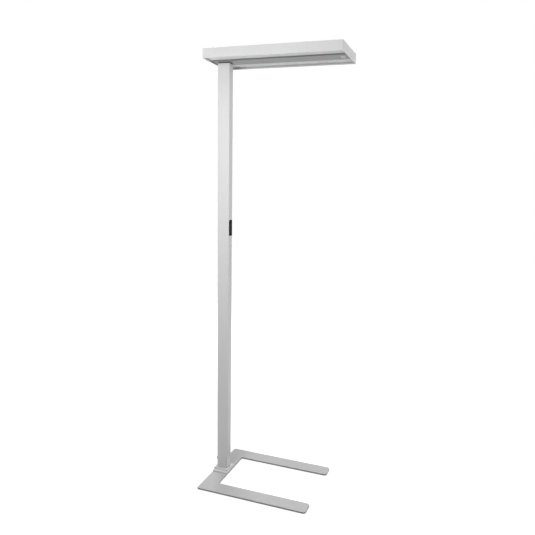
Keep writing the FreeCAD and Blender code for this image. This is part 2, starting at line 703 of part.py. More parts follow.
def cut_neck_holes(shape, z0, z1):
    """Cable slot and the two bolt holes, through a piece of the neck."""
    shape = shape.cut(block(-CABLE_SLOT_LENGTH / 2, CABLE_SLOT_LENGTH / 2,
                            -CABLE_SLOT_WIDTH / 2, CABLE_SLOT_WIDTH / 2, z0, z1))
    for x, y in port_places():
        shape = shape.cut(screw_hole(COLUMN_SCREW_DIAMETER, z0, z1, x, y))
    return shape


def neck_plate():
    """Thick plate inside the spine that spreads the column's load."""
    half_x = column_half_x + NECK_PLATE_MARGIN
    half_y = column_half_y + NECK_PLATE_MARGIN
    plate = block(-half_x, half_x, -half_y, half_y, spine_floor_top, neck_plate_top)
    return cut_neck_holes(plate, spine_floor_top, neck_plate_top)


def neck_bolts():
    length = neck_plate_top - column_top + COLUMN_SCREW_BITE
    return group([hex_bolt(COLUMN_SCREW_DIAMETER, length, Vector(x, y, neck_plate_top), DOWN)
                  for x, y in port_places()])


# ---------------------------------------------------------------- head frame
def rail_profile():
    """Rail section as (inward, up) points: outer wall, lower lip, tray ledge and upper lip."""
    wall = RAIL_WALL
    lower = wall + LOWER_LIP_REACH
    ledge = wall + LEDGE_REACH
    upper = wall + UPPER_LIP_REACH
    lower_top = OPTIC_RECESS
    upper_top = HEAD_HEIGHT - COVER_THICKNESS
    ledge_up = LEDGE_HEIGHT + LEDGE_THICKNESS
    return [
        (0, RAIL_EDGE_BREAK), (RAIL_EDGE_BREAK, 0), (wall, 0),
        (wall, lower_top - LIP_THICKNESS), (lower, lower_top - LIP_THICKNESS), (lower, lower_top),
        (wall, lower_top), (wall, LEDGE_HEIGHT), (ledge, LEDGE_HEIGHT), (ledge, ledge_up), (wall, ledge_up),
        (wall, upper_top - LIP_THICKNESS), (upper, upper_top - LIP_THICKNESS), (upper, upper_top),
        (wall, upper_top), (wall, HEAD_HEIGHT), (RAIL_EDGE_BREAK, HEAD_HEIGHT),
        (0, HEAD_HEIGHT - RAIL_EDGE_BREAK),
    ]


def mitred_rail(corner, along, inward, length):
    """One rail from a head corner, cut at 45 degrees at both ends."""
    points = [corner + inward * n + UP * z for n, z in rail_profile()]
    bar = Part.Face(Part.makePolygon(points + points[:1])).extrude(along * length)
    depth = RAIL_WALL + LEDGE_REACH + UPPER_LIP_REACH
    plan = [corner, corner + along * length, corner + along * (length - depth) + inward * depth,
            corner + along * depth + inward * depth]
    mitre = Part.Face(Part.makePolygon(plan + plan[:1])).extrude(UP * HEAD_HEIGHT)
    return bar.common(mitre)


# Each rail of the head: its first corner, the way it runs, the way inwards and its length.
FRONT_SIDE = (Vector(head_back, -head_half, head_bottom), TO_RIGHT, TO_REAR, HEAD_LENGTH)
REAR_SIDE = (Vector(head_back, head_half, head_bottom), TO_RIGHT, -TO_REAR, HEAD_LENGTH)
COLUMN_END = (Vector(head_back, -head_half, head_bottom), TO_REAR, TO_RIGHT, HEAD_WIDTH)
OUTER_END = (Vector(head_front, -head_half, head_bottom), TO_REAR, -TO_RIGHT, HEAD_WIDTH)


def spread(first, last, count):
    """Evenly spaced places, both ends included."""
    return [first + (last - first) * index / (count - 1) for index in range(count)]


def tray_screw_places():
    """Screws that hang the spine's flanges from the tray."""
    flange_y = spine_half + SPINE_FLANGE / 2
    xs = spread(head_back + TRAY_SCREW_END_MARGIN, head_front - TRAY_SCREW_END_MARGIN, TRAY_SCREWS_A_SIDE)
    return [(x, side * flange_y) for side in BOTH_SIDES for x in xs]


def corner_keys():
    """Angle pieces bonded into the four mitred corners; they stand on the tray and hold it down."""
    keys = []
    for end, side in ((x, y) for x in (head_back, head_front) for y in BOTH_SIDES):
        sx = 1 if end == head_back else -1
        x0 = end + sx * RAIL_WALL
        y0 = side * (head_half - RAIL_WALL)
        arms = []
        for reach_x, reach_y in ((KEY_ARM, KEY_THICKNESS), (KEY_THICKNESS, KEY_ARM)):
            x1 = x0 + sx * reach_x
            y1 = y0 - side * reach_y
            arms.append(block(min(x0, x1), max(x0, x1), min(y0, y1), max(y0, y1),
                              tray_top, tray_top + KEY_HEIGHT))
        keys.append(fuse(arms))
    return group(keys)


# ---------------------------------------------------------------- spine, strip and tray
def centre_strip():
    """Hat-section strip; its nibs snap into the spine and its lips carry the diffusers."""
    lip = strip_half + STRIP_LIP_REACH
    lip_bottom = diffuser_bottom - LIP_THICKNESS
    inner = strip_half - STRIP_THICKNESS
    half = [(strip_half, strip_bottom), (strip_half, lip_bottom), (lip, lip_bottom), (lip, diffuser_bottom),
            (nib_tip, diffuser_bottom), (nib_tip, nib_bottom), (inner, nib_bottom), (inner, strip_top)]
    mirrored = [(-y, z) for y, z in reversed(half)]
    strip = run_along_x(half + mirrored, strip_back, strip_front)
    neck_x = column_half_x - COLLAR_SETBACK + SLIP_GAP
    neck_y = column_half_y - COLLAR_SETBACK + SLIP_GAP
    strip = strip.cut(block(-neck_x, neck_x, -neck_y, neck_y, strip_bottom, strip_top))
    lens_radius = SENSOR_LENS_DIAMETER / 2 + THREAD_GAP
    return strip.cut(disc(lens_radius, STRIP_THICKNESS, Vector(sensor_x, 0, strip_bottom)))


def driver_screw_places():
    return [driver_start - DRIVER_EAR_LENGTH / 2, driver_end + DRIVER_EAR_LENGTH / 2]


def spine():
    """Structural trough that hangs from the tray and stands on the neck."""
    flange_bottom = ledge_top - SPINE_WALL
    flange = spine_half + SPINE_FLANGE
    groove = nib_tip - THREAD_GAP
    groove_bottom = nib_bottom - THREAD_GAP
    groove_top = diffuser_bottom + THREAD_GAP
    half = [(spine_half, strip_top), (spine_half, groove_bottom), (groove, groove_bottom),
            (groove, groove_top), (spine_half, groove_top), (spine_half, flange_bottom),
            (flange, flange_bottom), (flange, ledge_top), (trough_half, ledge_top),
            (trough_half, spine_floor_top)]
    mirrored = [(-y, z) for y, z in reversed(half)]
    trough = run_along_x(half + mirrored, spine_back, spine_front)
    trough = cut_neck_holes(trough, strip_top, spine_floor_top)
    for x in driver_screw_places():
        trough = trough.cut(screw_hole(DRIVER_SCREW_DIAMETER, strip_top, spine_floor_top, x, 0))
    for x, y in tray_screw_places():
        trough = trough.cut(screw_hole(TRAY_SCREW_DIAMETER, flange_bottom, ledge_top, x, y))
    return trough.cut(sensor_flange(SLIP_GAP))


def gear_tray():
    """Sheet that closes the light bays from above and carries both sets of boards."""
    inset = rail_inside
    sheet = block(head_back + inset, head_front - inset, -head_half + inset, head_half - inset,
                  ledge_top, tray_top)
    slot = block(spine_back + TRAY_BRIDGE, spine_front - TRAY_BRIDGE, -trough_half, trough_half,
                 ledge_top, tray_top)
    sheet = sheet.cut(slot)
    for x, y in tray_screw_places():
        sheet = sheet.cut(screw_hole(TRAY_SCREW_DIAMETER, ledge_top, tray_top, x, y))
    for side in BOTH_SIDES:
        sheet = sheet.cut(board_link_block(side, ledge_top, tray_top, THREAD_GAP))
    return sheet


def tray_screws():
    length = TRAY_THICKNESS + SPINE_WALL + TRAY_SCREW_SPARE
    return group([hex_bolt(TRAY_SCREW_DIAMETER, length, Vector(x, y, tray_top), DOWN)
                  for x, y in tray_screw_places()])


# ---------------------------------------------------------------- optics
def diffuser(side):
    """Prismatic sheet that slides along the rail's lower lip and the strip's lip."""
    y0, y1 = sorted((side * bay_inner, side * bay_outer))
    return block(head_back + rail_inside, head_front - rail_inside, y0, y1, diffuser_bottom, diffuser_top)


def reflector(side):
    """White tent-shaped reflector over a diffuser, slotted for the row of light sources."""
    crown_top = ledge_top - LED_BOARD_THICKNESS
    crown_half = REFLECTOR_CROWN / 2
    foot_half_width = (bay_outer - bay_inner) / 2 - SLIP_GAP
    wall = REFLECTOR_WALL
    rise = crown_top - diffuser_top
    slope = math.hypot(foot_half_width - crown_half, rise)
    shift = wall * slope / rise
    nook = wall * (slope - (foot_half_width - crown_half)) / rise
    half = [(crown_half, crown_top), (foot_half_width, diffuser_top),
            (foot_half_width - shift, diffuser_top), (crown_half - nook, crown_top - wall)]
    mirrored = [(-y, z) for y, z in reversed(half)]
    centre = side * bay_centre
    points = [(centre + y, z) for y, z in half + mirrored]
    x0 = spine_back + REFLECTOR_END_MARGIN
    x1 = spine_front - REFLECTOR_END_MARGIN
    tent = run_along_x(points, x0, x1)
    slot_half = REFLECTOR_SLOT / 2
    ends = LED_BOARD_END_MARGIN
    slot = block(x0 + ends, x1 - ends, centre - slot_half, centre + slot_half, crown_top - wall, crown_top)
    return tent.cut(slot)


def led_board(side, upward):
    """Board strip with its row of light sources, facing up over the tray or down under it."""
    centre = side * bay_centre
    half = LED_BOARD_WIDTH / 2
    x0 = head_back + LED_BOARD_END_MARGIN
    x1 = head_front - LED_BOARD_END_MARGIN
    seat = tray_top if upward else ledge_top - LED_BOARD_THICKNESS
    board = block(x0, x1, centre - half, centre + half, seat, seat + LED_BOARD_THICKNESS)
    light_z = seat + LED_BOARD_THICKNESS if upward else seat - LED_HEIGHT
    first = x0 + 2 * LED_BOARD_END_MARGIN
    last = x1 - 2 * LED_BOARD_END_MARGIN
    size = LED_SIZE / 2
    lights = [block(x - size, x + size, centre - size, centre + size, light_z, light_z + LED_HEIGHT)
              for x in spread(first, last, LEDS_A_BOARD)]
    return fuse([board] + lights)


def board_link_block(side, z0, z1, gap):
    """Body of the plug that joins an upper and a lower board, or its slot when widened by a gap."""
    centre = side * bay_centre
    middle = head_back + LED_BOARD_END_MARGIN + BOARD_LINK_OFFSET
    half_x = BOARD_LINK_LENGTH / 2 + gap
    half_y = BOARD_LINK_WIDTH / 2 + gap
    return block(middle - half_x, middle + half_x, centre - half_y, centre + half_y, z0, z1)


def direct_led_boards():
    return group([led_board(side, False) for side in BOTH_SIDES])


def indirect_led_boards():
    """Upper boards, slotted where the board links come through."""
    boards = []
    for side in BOTH_SIDES:
        slot = board_link_block(side, tray_top, tray_top + LED_BOARD_THICKNESS, THREAD_GAP)
        boards.append(led_board(side, True).cut(slot))
    return group(boards)


def board_links():
    """Plugs that stand on the lower boards, pass through the tray and feed both boards."""
    top = tray_top + LED_BOARD_THICKNESS + BOARD_LINK_RISE
    return group([board_link_block(side, ledge_top, top, 0) for side in BOTH_SIDES])


# ---------------------------------------------------------------- top cover
pane_inner = spine_half + SPINE_FLANGE
pane_outer = head_half - RAIL_WALL - UPPER_LIP_REACH - SLIP_GAP
pane_back = head_back + WINDOW_END_MARGIN
pane_front = head_front - WINDOW_END_MARGIN


def window_opening(side):
    y0, y1 = sorted((side * (pane_inner + WINDOW_LAP), side * (pane_outer - WINDOW_LAP)))
    return rounded_block(pane_back + WINDOW_LAP, pane_front - WINDOW_LAP, y0, y1,
                         cover_bottom, LAMP_HEIGHT, WINDOW_CORNER_RADIUS)


def top_cover():
    """Flush sheet on the rails' upper lips, with two windows for the uplight."""
    inset = rail_inside
    sheet = block(head_back + inset, head_front - inset, -head_half + inset, head_half - inset,
                  cover_bottom, LAMP_HEIGHT)
    for side in BOTH_SIDES:
        sheet = sheet.cut(window_opening(side))
    return sheet


def cover_clip(corner, along, inward, distance):
    """Spring clip on the cover's underside; its foot hooks under the rail's upper lip."""
    lip_edge = RAIL_WALL + UPPER_LIP_REACH + THREAD_GAP
    leg = lip_edge + CLIP_THICKNESS
    top = HEAD_HEIGHT - COVER_THICKNESS
    foot_top = top - LIP_THICKNESS - THREAD_GAP
    foot_end = lip_edge - CLIP_FOOT
    flange_end = leg + CLIP_FLANGE
    outline = [(lip_edge, top), (lip_edge, foot_top), (foot_end, foot_top),
               (foot_end, foot_top - CLIP_THICKNESS), (leg, foot_top - CLIP_THICKNESS),
               (leg, top - CLIP_THICKNESS), (flange_end, top - CLIP_THICKNESS), (flange_end, top)]
    start = corner + along * (distance - CLIP_WIDTH / 2)
    points = [start + inward * n + UP * z for n, z in outline]
    return Part.Face(Part.makePolygon(points + points[:1])).extrude(along * CLIP_WIDTH)


def cover_clips():
    """Two clips on each side of the cover."""
    clips = []
    for corner, along, inward, length in (FRONT_SIDE, REAR_SIDE, COLUMN_END, OUTER_END):
        for distance in (CLIP_END_MARGIN, length - CLIP_END_MARGIN):
            clips.append(cover_clip(corner, along, inward, distance))
    return group(clips)


def uplight_window(side):
    """Clear pane bonded under the cover."""
    y0, y1 = sorted((side * pane_inner, side * pane_outer))
    return block(pane_back, pane_front, y0, y1, cover_bottom - WINDOW_THICKNESS, cover_bottom)


# ---------------------------------------------------------------- electrics
def terminal_block():
    half = TERMINAL_WIDTH / 2
    top = spine_floor_top + TERMINAL_HEIGHT
    return block(TERMINAL_START, terminal_end, -half, half, spine_floor_top, top)


def led_driver():
    """Driver can with an ear at each end."""
    half = DRIVER_WIDTH / 2
    can = block(driver_start, driver_end, -half, half, spine_floor_top, spine_floor_top + DRIVER_HEIGHT)
    ears = block(driver_start - DRIVER_EAR_LENGTH, driver_end + DRIVER_EAR_LENGTH, -half / 2, half / 2,
                 spine_floor_top, spine_floor_top + DRIVER_EAR_THICKNESS)
    body = fuse([can, ears])
    for x in driver_screw_places():
        body = body.cut(screw_hole(DRIVER_SCREW_DIAMETER, spine_floor_top,
                                   spine_floor_top + DRIVER_EAR_THICKNESS, x, 0))
    return body


def driver_screws():
    seat = spine_floor_top + DRIVER_EAR_THICKNESS
    length = DRIVER_EAR_THICKNESS + SPINE_FLOOR
    return group([hex_bolt(DRIVER_SCREW_DIAMETER, length, Vector(x, 0, seat), DOWN)
                  for x in driver_screw_places()])


def driver_leads():
    """Short leads between the terminal block and the driver."""
    height = spine_floor_top + min(TERMINAL_HEIGHT, DRIVER_HEIGHT) / 2
    leads = []
    for step in (-1, 0, 1):
        start = Vector(terminal_end, step * DRIVER_LEAD_PITCH, height)
        ends = [start, start + TO_RIGHT * DRIVER_GAP]
        leads.append(lead(ends, [], BOARD_LEAD_WIDTH, BOARD_LEAD_THICKNESS, UP))
    return group(leads)


def board_leads():
    """Leads from the driver's sides over the tray to the board links."""
    half = DRIVER_WIDTH / 2
    height = tray_top + LED_BOARD_THICKNESS + BOARD_LINK_RISE / 2
    start_x = driver_start + 2 * BOARD_LEAD_THICKNESS
    link_x = head_back + LED_BOARD_END_MARGIN + BOARD_LINK_OFFSET
    leads = []
    for side in BOTH_SIDES:
        points = [Vector(start_x, side * half, height), Vector(start_x, side * bay_centre, height),
                  Vector(link_x + BOARD_LINK_LENGTH / 2, side * bay_centre, height)]
        leads.append(lead(points, [BOARD_BEND_RADIUS], BOARD_LEAD_WIDTH, BOARD_LEAD_THICKNESS, UP))
    return group(leads)


def sensor_flange(gap):
    """Square flange of the sensor's lens in the spine's floor, widened by a gap."""
    half = SENSOR_LENS_DIAMETER / 2 + SENSOR_FLANGE_LAP + gap
    return block(sensor_x - half, sensor_x + half, -half, half, strip_top, spine_floor_top)


def sensor_lens():
    """Round white lens of the presence and daylight sensor, turned to a bevel below the strip."""
    lowest = strip_bottom - SENSOR_LENS_DROP
    radius = SENSOR_LENS_DIAMETER / 2
    outline = [(0, lowest), (SENSOR_LENS_FLAT / 2, lowest), (radius, strip_bottom), (radius, strip_top),
               (0, strip_top)]
    points = [Vector(sensor_x + r, 0, z) for r, z in outline]
    profile = Part.Face(Part.makePolygon(points + points[:1]))
    return fuse([profile.revolve(Vector(sensor_x, 0, 0), UP, 360), sensor_flange(0)])


def sensor_module():
    half = SENSOR_BOX_SIZE / 2
    return block(sensor_x - half, sensor_x + half, -half, half,
                 spine_floor_top, spine_floor_top + SENSOR_BOX_HEIGHT)


def sensor_lead():
    """Ribbon from the driver's end along the spine's floor to the sensor, beside the driver's ear."""
    y = DRIVER_WIDTH / 4 + SIGNAL_LEAD_WIDTH
    height = spine_floor_top + SIGNAL_LEAD_THICKNESS / 2
    ends = [Vector(driver_end, y, height), Vector(sensor_x - SENSOR_BOX_SIZE / 2, y, height)]
    return lead(ends, [], SIGNAL_LEAD_WIDTH, SIGNAL_LEAD_THICKNESS, TO_REAR)


# ---------------------------------------------------------------- all pieces
PIECES = {
    "base_plate": base_plate,
    "foot_pads": foot_pads,
    "base_screws": base_screws,
    "foot_bracket": foot_bracket,
    "column": column,
    "cable_inlet": cable_inlet,
    "inlet_seal": inlet_seal,
    "inlet_nut": inlet_nut,
    "supply_lead": supply_lead,
    "control_lead": control_lead,
    "control_housing": control_housing,
    "brighter_button": lambda: push_button(1),
    "dimmer_button": lambda: push_button(-1),
    "brighter_plunger": lambda: plunger(1),
    "dimmer_plunger": lambda: plunger(-1),
    "switch_bodies": switch_bodies,
    "control_board": control_board,
    "status_window": status_window,
    "neck_collar": neck_collar,
    "neck_plate": neck_plate,
    "neck_bolts": neck_bolts,
    "front_rail": lambda: mitred_rail(*FRONT_SIDE),
    "rear_rail": lambda: mitred_rail(*REAR_SIDE),
    "column_end_rail": lambda: mitred_rail(*COLUMN_END),
    "outer_end_rail": lambda: mitred_rail(*OUTER_END),
    "corner_keys": corner_keys,
    "centre_strip": centre_strip,
    "spine": spine,
    "gear_tray": gear_tray,
    "tray_screws": tray_screws,
    "front_diffuser": lambda: diffuser(-1),
    "rear_diffuser": lambda: diffuser(1),
    "front_reflector": lambda: reflector(-1),
    "rear_reflector": lambda: reflector(1),
    "direct_led_boards": direct_led_boards,
    "indirect_led_boards": indirect_led_boards,
    "board_links": board_links,
    "top_cover": top_cover,
    "cover_clips": cover_clips,
    "front_uplight_window": lambda: uplight_window(-1),
    "rear_uplight_window": lambda: uplight_window(1),
    "terminal_block": terminal_block,
    "led_driver": led_driver,
    "driver_screws": driver_screws,
    "driver_leads": driver_leads,
    "board_leads": board_leads,
    "sensor_lens": sensor_lens,
    "sensor_module": sensor_module,
    "sensor_lead": sensor_lead,
}


def build_all():
    os.makedirs("parts", exist_ok=True)
    for name, make in PIECES.items():
        shape = make()
        shape.exportStep("parts/" + name + ".step")


build_all()
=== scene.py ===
"""Office floor lamp: finishes, small shapes, floor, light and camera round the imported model, in metres."""

import math

import bmesh
import bpy
from mathutils import Matrix, Vector


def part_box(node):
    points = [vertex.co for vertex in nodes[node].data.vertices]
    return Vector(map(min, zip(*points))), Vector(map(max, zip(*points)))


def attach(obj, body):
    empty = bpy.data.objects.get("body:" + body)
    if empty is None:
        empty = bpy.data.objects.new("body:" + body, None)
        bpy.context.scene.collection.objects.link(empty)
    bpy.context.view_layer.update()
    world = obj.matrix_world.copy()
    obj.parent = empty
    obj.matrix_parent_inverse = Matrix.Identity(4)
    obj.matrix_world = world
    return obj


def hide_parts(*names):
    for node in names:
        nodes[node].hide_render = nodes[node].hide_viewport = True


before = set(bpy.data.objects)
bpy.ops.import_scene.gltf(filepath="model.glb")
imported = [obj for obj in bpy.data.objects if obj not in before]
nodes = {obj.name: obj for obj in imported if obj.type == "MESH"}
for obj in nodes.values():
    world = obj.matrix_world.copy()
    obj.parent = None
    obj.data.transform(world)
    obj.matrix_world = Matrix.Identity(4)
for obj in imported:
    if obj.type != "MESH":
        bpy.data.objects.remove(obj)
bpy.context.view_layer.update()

MM = 0.001
SAME_POINT = 0.001 * MM
FLOAT = "NodeSocketFloat"
VECTOR = "NodeSocketVector"
X_AXIS = Vector((1, 0, 0))
Z_AXIS = Vector((0, 0, 1))

# Nearly all of a noise pattern lies between these two values.
NOISE_LOW = 0.3
NOISE_HIGH = 0.7


# ---------------------------------------------------------------- node helpers
def place(tree, kind, feeds=None, **settings):
    """Adds a node; feeds maps a socket's name or number to a value or to another node's socket."""
    made = tree.nodes.new(kind)
    for key, value in settings.items():
        setattr(made, key, value)
    for socket, value in (feeds or {}).items():
        if isinstance(value, bpy.types.NodeSocket):
            tree.links.new(value, made.inputs[socket])
        else:
            made.inputs[socket].default_value = value
    return made


def calc(tree, operation, first, second=0.0, clamp=False):
    """One sum on two values."""
    feeds = {0: first, 1: second}
    return place(tree, "ShaderNodeMath", feeds, operation=operation, use_clamp=clamp).outputs[0]


def raised(tree, value, mask, amount, clamp=False):
    """Value raised by an amount where a mask is 1."""
    return calc(tree, "ADD", value, calc(tree, "MULTIPLY", mask, amount), clamp)


def remap(tree, value, low, high, new_low, new_high):
    """Value moved from one range to another, held at the new range's ends."""
    feeds = {0: value, 1: low, 2: high, 3: new_low, 4: new_high}
    return place(tree, "ShaderNodeMapRange", feeds, clamp=True).outputs[0]


def spread(tree, pattern, new_low, new_high):
    """Noise pattern spread over a range."""
    return remap(tree, pattern, NOISE_LOW, NOISE_HIGH, new_low, new_high)


def mixed(tree, share, first, second):
    """Colour between two colours."""
    feeds = {0: share, 6: first, 7: second}
    return place(tree, "ShaderNodeMix", feeds, data_type="RGBA").outputs[2]


def covered(tree, colour, mask, share, layer):
    """Colour covered by a layer's colour, as far as the share, where a mask is 1."""
    return mixed(tree, calc(tree, "MULTIPLY", mask, share), colour, layer)


def shaded(tree, colour, shade):
    """Colour made lighter or darker by a factor."""
    tint = colour if isinstance(colour, bpy.types.NodeSocket) else colour[:3]
    feeds = {0: tint, "Scale": shade}
    return place(tree, "ShaderNodeVectorMath", feeds, operation="SCALE").outputs[0]


def grey(level):
    return (level, level, level, 1.0)


def object_place(tree):
    """The surface point in the lamp's own coordinates."""
    return place(tree, "ShaderNodeTexCoord").outputs["Object"]


def surface_normal(tree):
    return place(tree, "ShaderNodeNewGeometry").outputs["Normal"]


def height_of(tree, vector):
    """A vector's upright part."""
    return place(tree, "ShaderNodeSeparateXYZ", {0: vector}).outputs[2]


def stretched(tree, point, factors):
    """Point scaled by its own factor along each axis."""
    return place(tree, "ShaderNodeVectorMath", {0: point, 1: factors}, operation="MULTIPLY").outputs[0]


def noise(tree, point, per_metre, detail=2.0, rough=0.5):
    feeds = {"Vector": point, "Scale": per_metre, "Detail": detail, "Roughness": rough}
    return place(tree, "ShaderNodeTexNoise", feeds).outputs[0]


def cells(tree, point, per_metre, output, **settings):
    """Pattern of irregular cells: their random colour or the distance from them."""
    feeds = {"Vector": point, "Scale": per_metre}
    return place(tree, "ShaderNodeTexVoronoi", feeds, **settings).outputs[output]


def red_of(tree, colour):
    """A colour's first value."""
    return place(tree, "ShaderNodeSeparateColor", {0: colour}).outputs[0]


def effect(name, inputs, outputs):
    """Empty node group with named sockets; returns its tree, what it is given and what it gives."""
    tree = bpy.data.node_groups.new(name, "ShaderNodeTree")
    for label, kind, value in inputs:
        tree.interface.new_socket(name=label, in_out="INPUT", socket_type=kind).default_value = value
    for label, kind in outputs:
        tree.interface.new_socket(name=label, in_out="OUTPUT", socket_type=kind)
    return tree, tree.nodes.new("NodeGroupInput").outputs, tree.nodes.new("NodeGroupOutput").inputs


def use(tree, group, **values):
    """Places an effect with its own values and returns its outputs."""
    feeds = {name.replace("_", " "): value for name, value in values.items()}
    return place(tree, "ShaderNodeGroup", feeds, node_tree=group).outputs


# ---------------------------------------------------------------- shared effects
def coat_grain_effect():
    """Orange peel, flakes and faint clouds of a sprayed and baked coat."""
    tree, given, gives = effect(
        "coat grain",
        [("Peel Size", FLOAT, 1.2 * MM), ("Flake Size", FLOAT, 0.4 * MM), ("Unevenness", FLOAT, 0.05)],
        [("Height", FLOAT), ("Shade", FLOAT), ("Sheen", FLOAT)])
    clouds_per_metre = 5.0
    sheen_swing = 0.05
    point = object_place(tree)
    peel = noise(tree, point, calc(tree, "DIVIDE", 1.0, given["Peel Size"]), detail=3.0, rough=0.55)
    flake = red_of(tree, cells(tree, point, calc(tree, "DIVIDE", 1.0, given["Flake Size"]), "Color"))
    cloud = noise(tree, point, clouds_per_metre, detail=3.0, rough=0.6)
    light = calc(tree, "MULTIPLY", remap(tree, flake, 0.0, 1.0, -1.0, 1.0), given["Unevenness"])
    slow = calc(tree, "MULTIPLY", spread(tree, cloud, -1.0, 1.0), given["Unevenness"])
    both = calc(tree, "ADD", light, slow)
    tree.links.new(peel, gives["Height"])
    tree.links.new(calc(tree, "ADD", both, 1.0), gives["Shade"])
    tree.links.new(spread(tree, peel, -sheen_swing, sheen_swing), gives["Sheen"])
    return tree


def drawn_lines_effect():
    """Fine die lines along one direction of an extruded or rolled metal."""
    tree, given, gives = effect(
        "drawn lines",
        [("Stretch", VECTOR, (1500.0, 1500.0, 2.0)), ("Contrast", FLOAT, 0.06)],
        [("Height", FLOAT), ("Shade", FLOAT), ("Sheen", FLOAT)])
    wide_share = 0.4
    wide_factors = (0.12, 0.12, 0.12)
    sheen_swing = 0.06
    drawn = stretched(tree, object_place(tree), given["Stretch"])
    fine = noise(tree, drawn, 1.0, detail=4.0, rough=0.65)
    wide = noise(tree, stretched(tree, drawn, wide_factors), 1.0)
    lines = raised(tree, calc(tree, "MULTIPLY", fine, 1.0 - wide_share), wide, wide_share)
    contrast = calc(tree, "MULTIPLY", spread(tree, lines, -1.0, 1.0), given["Contrast"])
    tree.links.new(lines, gives["Height"])
    tree.links.new(calc(tree, "ADD", contrast, 1.0), gives["Shade"])
    tree.links.new(spread(tree, lines, -sheen_swing, sheen_swing), gives["Sheen"])
    return tree


def handling_effect():
    """Hand smudges, hair scratches and the dust that lies on faces turned up."""
    tree, given, gives = effect(
        "handling",
        [("Smudge", FLOAT, 0.5), ("Scratch", FLOAT, 0.5), ("Dust", FLOAT, 0.5)],
        [("Smudge Mask", FLOAT), ("Scratch Mask", FLOAT), ("Dust Mask", FLOAT)])
    smudges_per_metre = 14.0
    bends_per_metre = 9.0
    bend = 0.12
    hairs_per_metre = (31.0, 47.0, 12.0)
    hair_width = 0.012
    scratched_spots_per_metre = 21.0
    lint_per_metre = 160.0
    point = object_place(tree)
    patch = noise(tree, point, smudges_per_metre, detail=4.0, rough=0.62)
    smudge = calc(tree, "MULTIPLY", remap(tree, patch, 0.48, 0.72, 0.0, 1.0), given["Smudge"])
    tree.links.new(smudge, gives["Smudge Mask"])
    bent = place(tree, "ShaderNodeTexNoise",
                 {"Vector": point, "Scale": bends_per_metre, "Detail": 1.0}).outputs["Color"]
    wander = place(tree, "ShaderNodeVectorMath", {0: point, 1: shaded(tree, bent, bend)}, operation="ADD")
    hair = cells(tree, stretched(tree, wander.outputs[0], hairs_per_metre), 1.0, "Distance",
                 feature="DISTANCE_TO_EDGE")
    line = remap(tree, hair, 0.0, hair_width, 1.0, 0.0)
    sparse = remap(tree, noise(tree, point, scratched_spots_per_metre), 0.55, 0.65, 0.0, 1.0)
    scratch = calc(tree, "MULTIPLY", calc(tree, "MULTIPLY", line, sparse), given["Scratch"])
    tree.links.new(scratch, gives["Scratch Mask"])
    up = remap(tree, height_of(tree, surface_normal(tree)), 0.7, 1.0, 0.0, 1.0)
    lint = remap(tree, noise(tree, point, lint_per_metre, detail=5.0, rough=0.7), 0.35, 0.75, 0.15, 1.0)
    dust = calc(tree, "MULTIPLY", calc(tree, "MULTIPLY", up, lint), given["Dust"])
    tree.links.new(dust, gives["Dust Mask"])
    return tree


def eased_edge_effect():
    """Rounding of the last fraction of a millimetre at each edge, and a mask of where an edge is rubbed."""
    tree, given, gives = effect(
        "eased edge",
        [("Radius", FLOAT, 0.5 * MM)],
        [("Edge Mask", FLOAT), ("Normal", VECTOR)])
    rubs_per_metre = 60.0
    rounded = place(tree, "ShaderNodeBevel", {"Radius": given["Radius"]}, samples=6).outputs[0]
    feeds = {0: rounded, 1: surface_normal(tree)}
    turned = place(tree, "ShaderNodeVectorMath", feeds, operation="DOT_PRODUCT").outputs["Value"]
    rubbed = remap(tree, noise(tree, object_place(tree), rubs_per_metre, detail=4.0), 0.35, 0.65, 0.2, 1.0)
    edge = calc(tree, "MULTIPLY", remap(tree, turned, 0.99, 0.75, 0.0, 1.0), rubbed)
    tree.links.new(edge, gives["Edge Mask"])
    tree.links.new(rounded, gives["Normal"])
    return tree


def crevice_shade_effect():
    """Mask of painted shade where two pieces or two faces meet, strongest where little open space is around
    the point.
    """
    tree, given, gives = effect(
        "crevice",
        [("Reach", FLOAT, 2.0 * MM), ("Amount", FLOAT, 0.6)],
        [("Crevice Mask", FLOAT)])
    feeds = {"Distance": given["Reach"]}
    # Ambient occlusion finds where shade falls in a crevice; the mask paints that shade.
    open_share = place(tree, "ShaderNodeAmbientOcclusion", feeds, samples=6).outputs["AO"]
    closed = remap(tree, open_share, 0.35, 0.85, 1.0, 0.0)
    tree.links.new(calc(tree, "MULTIPLY", closed, given["Amount"]), gives["Crevice Mask"])
    return tree


def moulded_grain_effect():
    """Spark-eroded leather-like grain of a moulded plastic."""
    tree, given, gives = effect(
        "moulded grain",
        [("Grain Size", FLOAT, 0.7 * MM)],
        [("Height", FLOAT), ("Shade", FLOAT), ("Sheen", FLOAT)])
    fine_share = 0.4
    fine_factor = 2.3
    grain_low = 0.2
    shade_swing = 0.12
    sheen_swing = 0.07
    point = object_place(tree)
    per_metre = calc(tree, "DIVIDE", 1.0, given["Grain Size"])
    pebbles = cells(tree, point, per_metre, "Distance")
    fine = noise(tree, point, calc(tree, "MULTIPLY", per_metre, fine_factor))
    height = raised(tree, calc(tree, "MULTIPLY", pebbles, 1.0 - fine_share), fine, fine_share)
    shade = remap(tree, height, grain_low, NOISE_HIGH, 1.0 - shade_swing, 1.0 + shade_swing)
    sheen = remap(tree, height, grain_low, NOISE_HIGH, -sheen_swing, sheen_swing)
    tree.links.new(height, gives["Height"])
    tree.links.new(shade, gives["Shade"])
    tree.links.new(sheen, gives["Sheen"])
    return tree


COAT_GRAIN = coat_grain_effect()
DRAWN_LINES = drawn_lines_effect()
HANDLING = handling_effect()
EASED_EDGE = eased_edge_effect()
CREVICE_SHADE = crevice_shade_effect()
MOULDED_GRAIN = moulded_grain_effect()


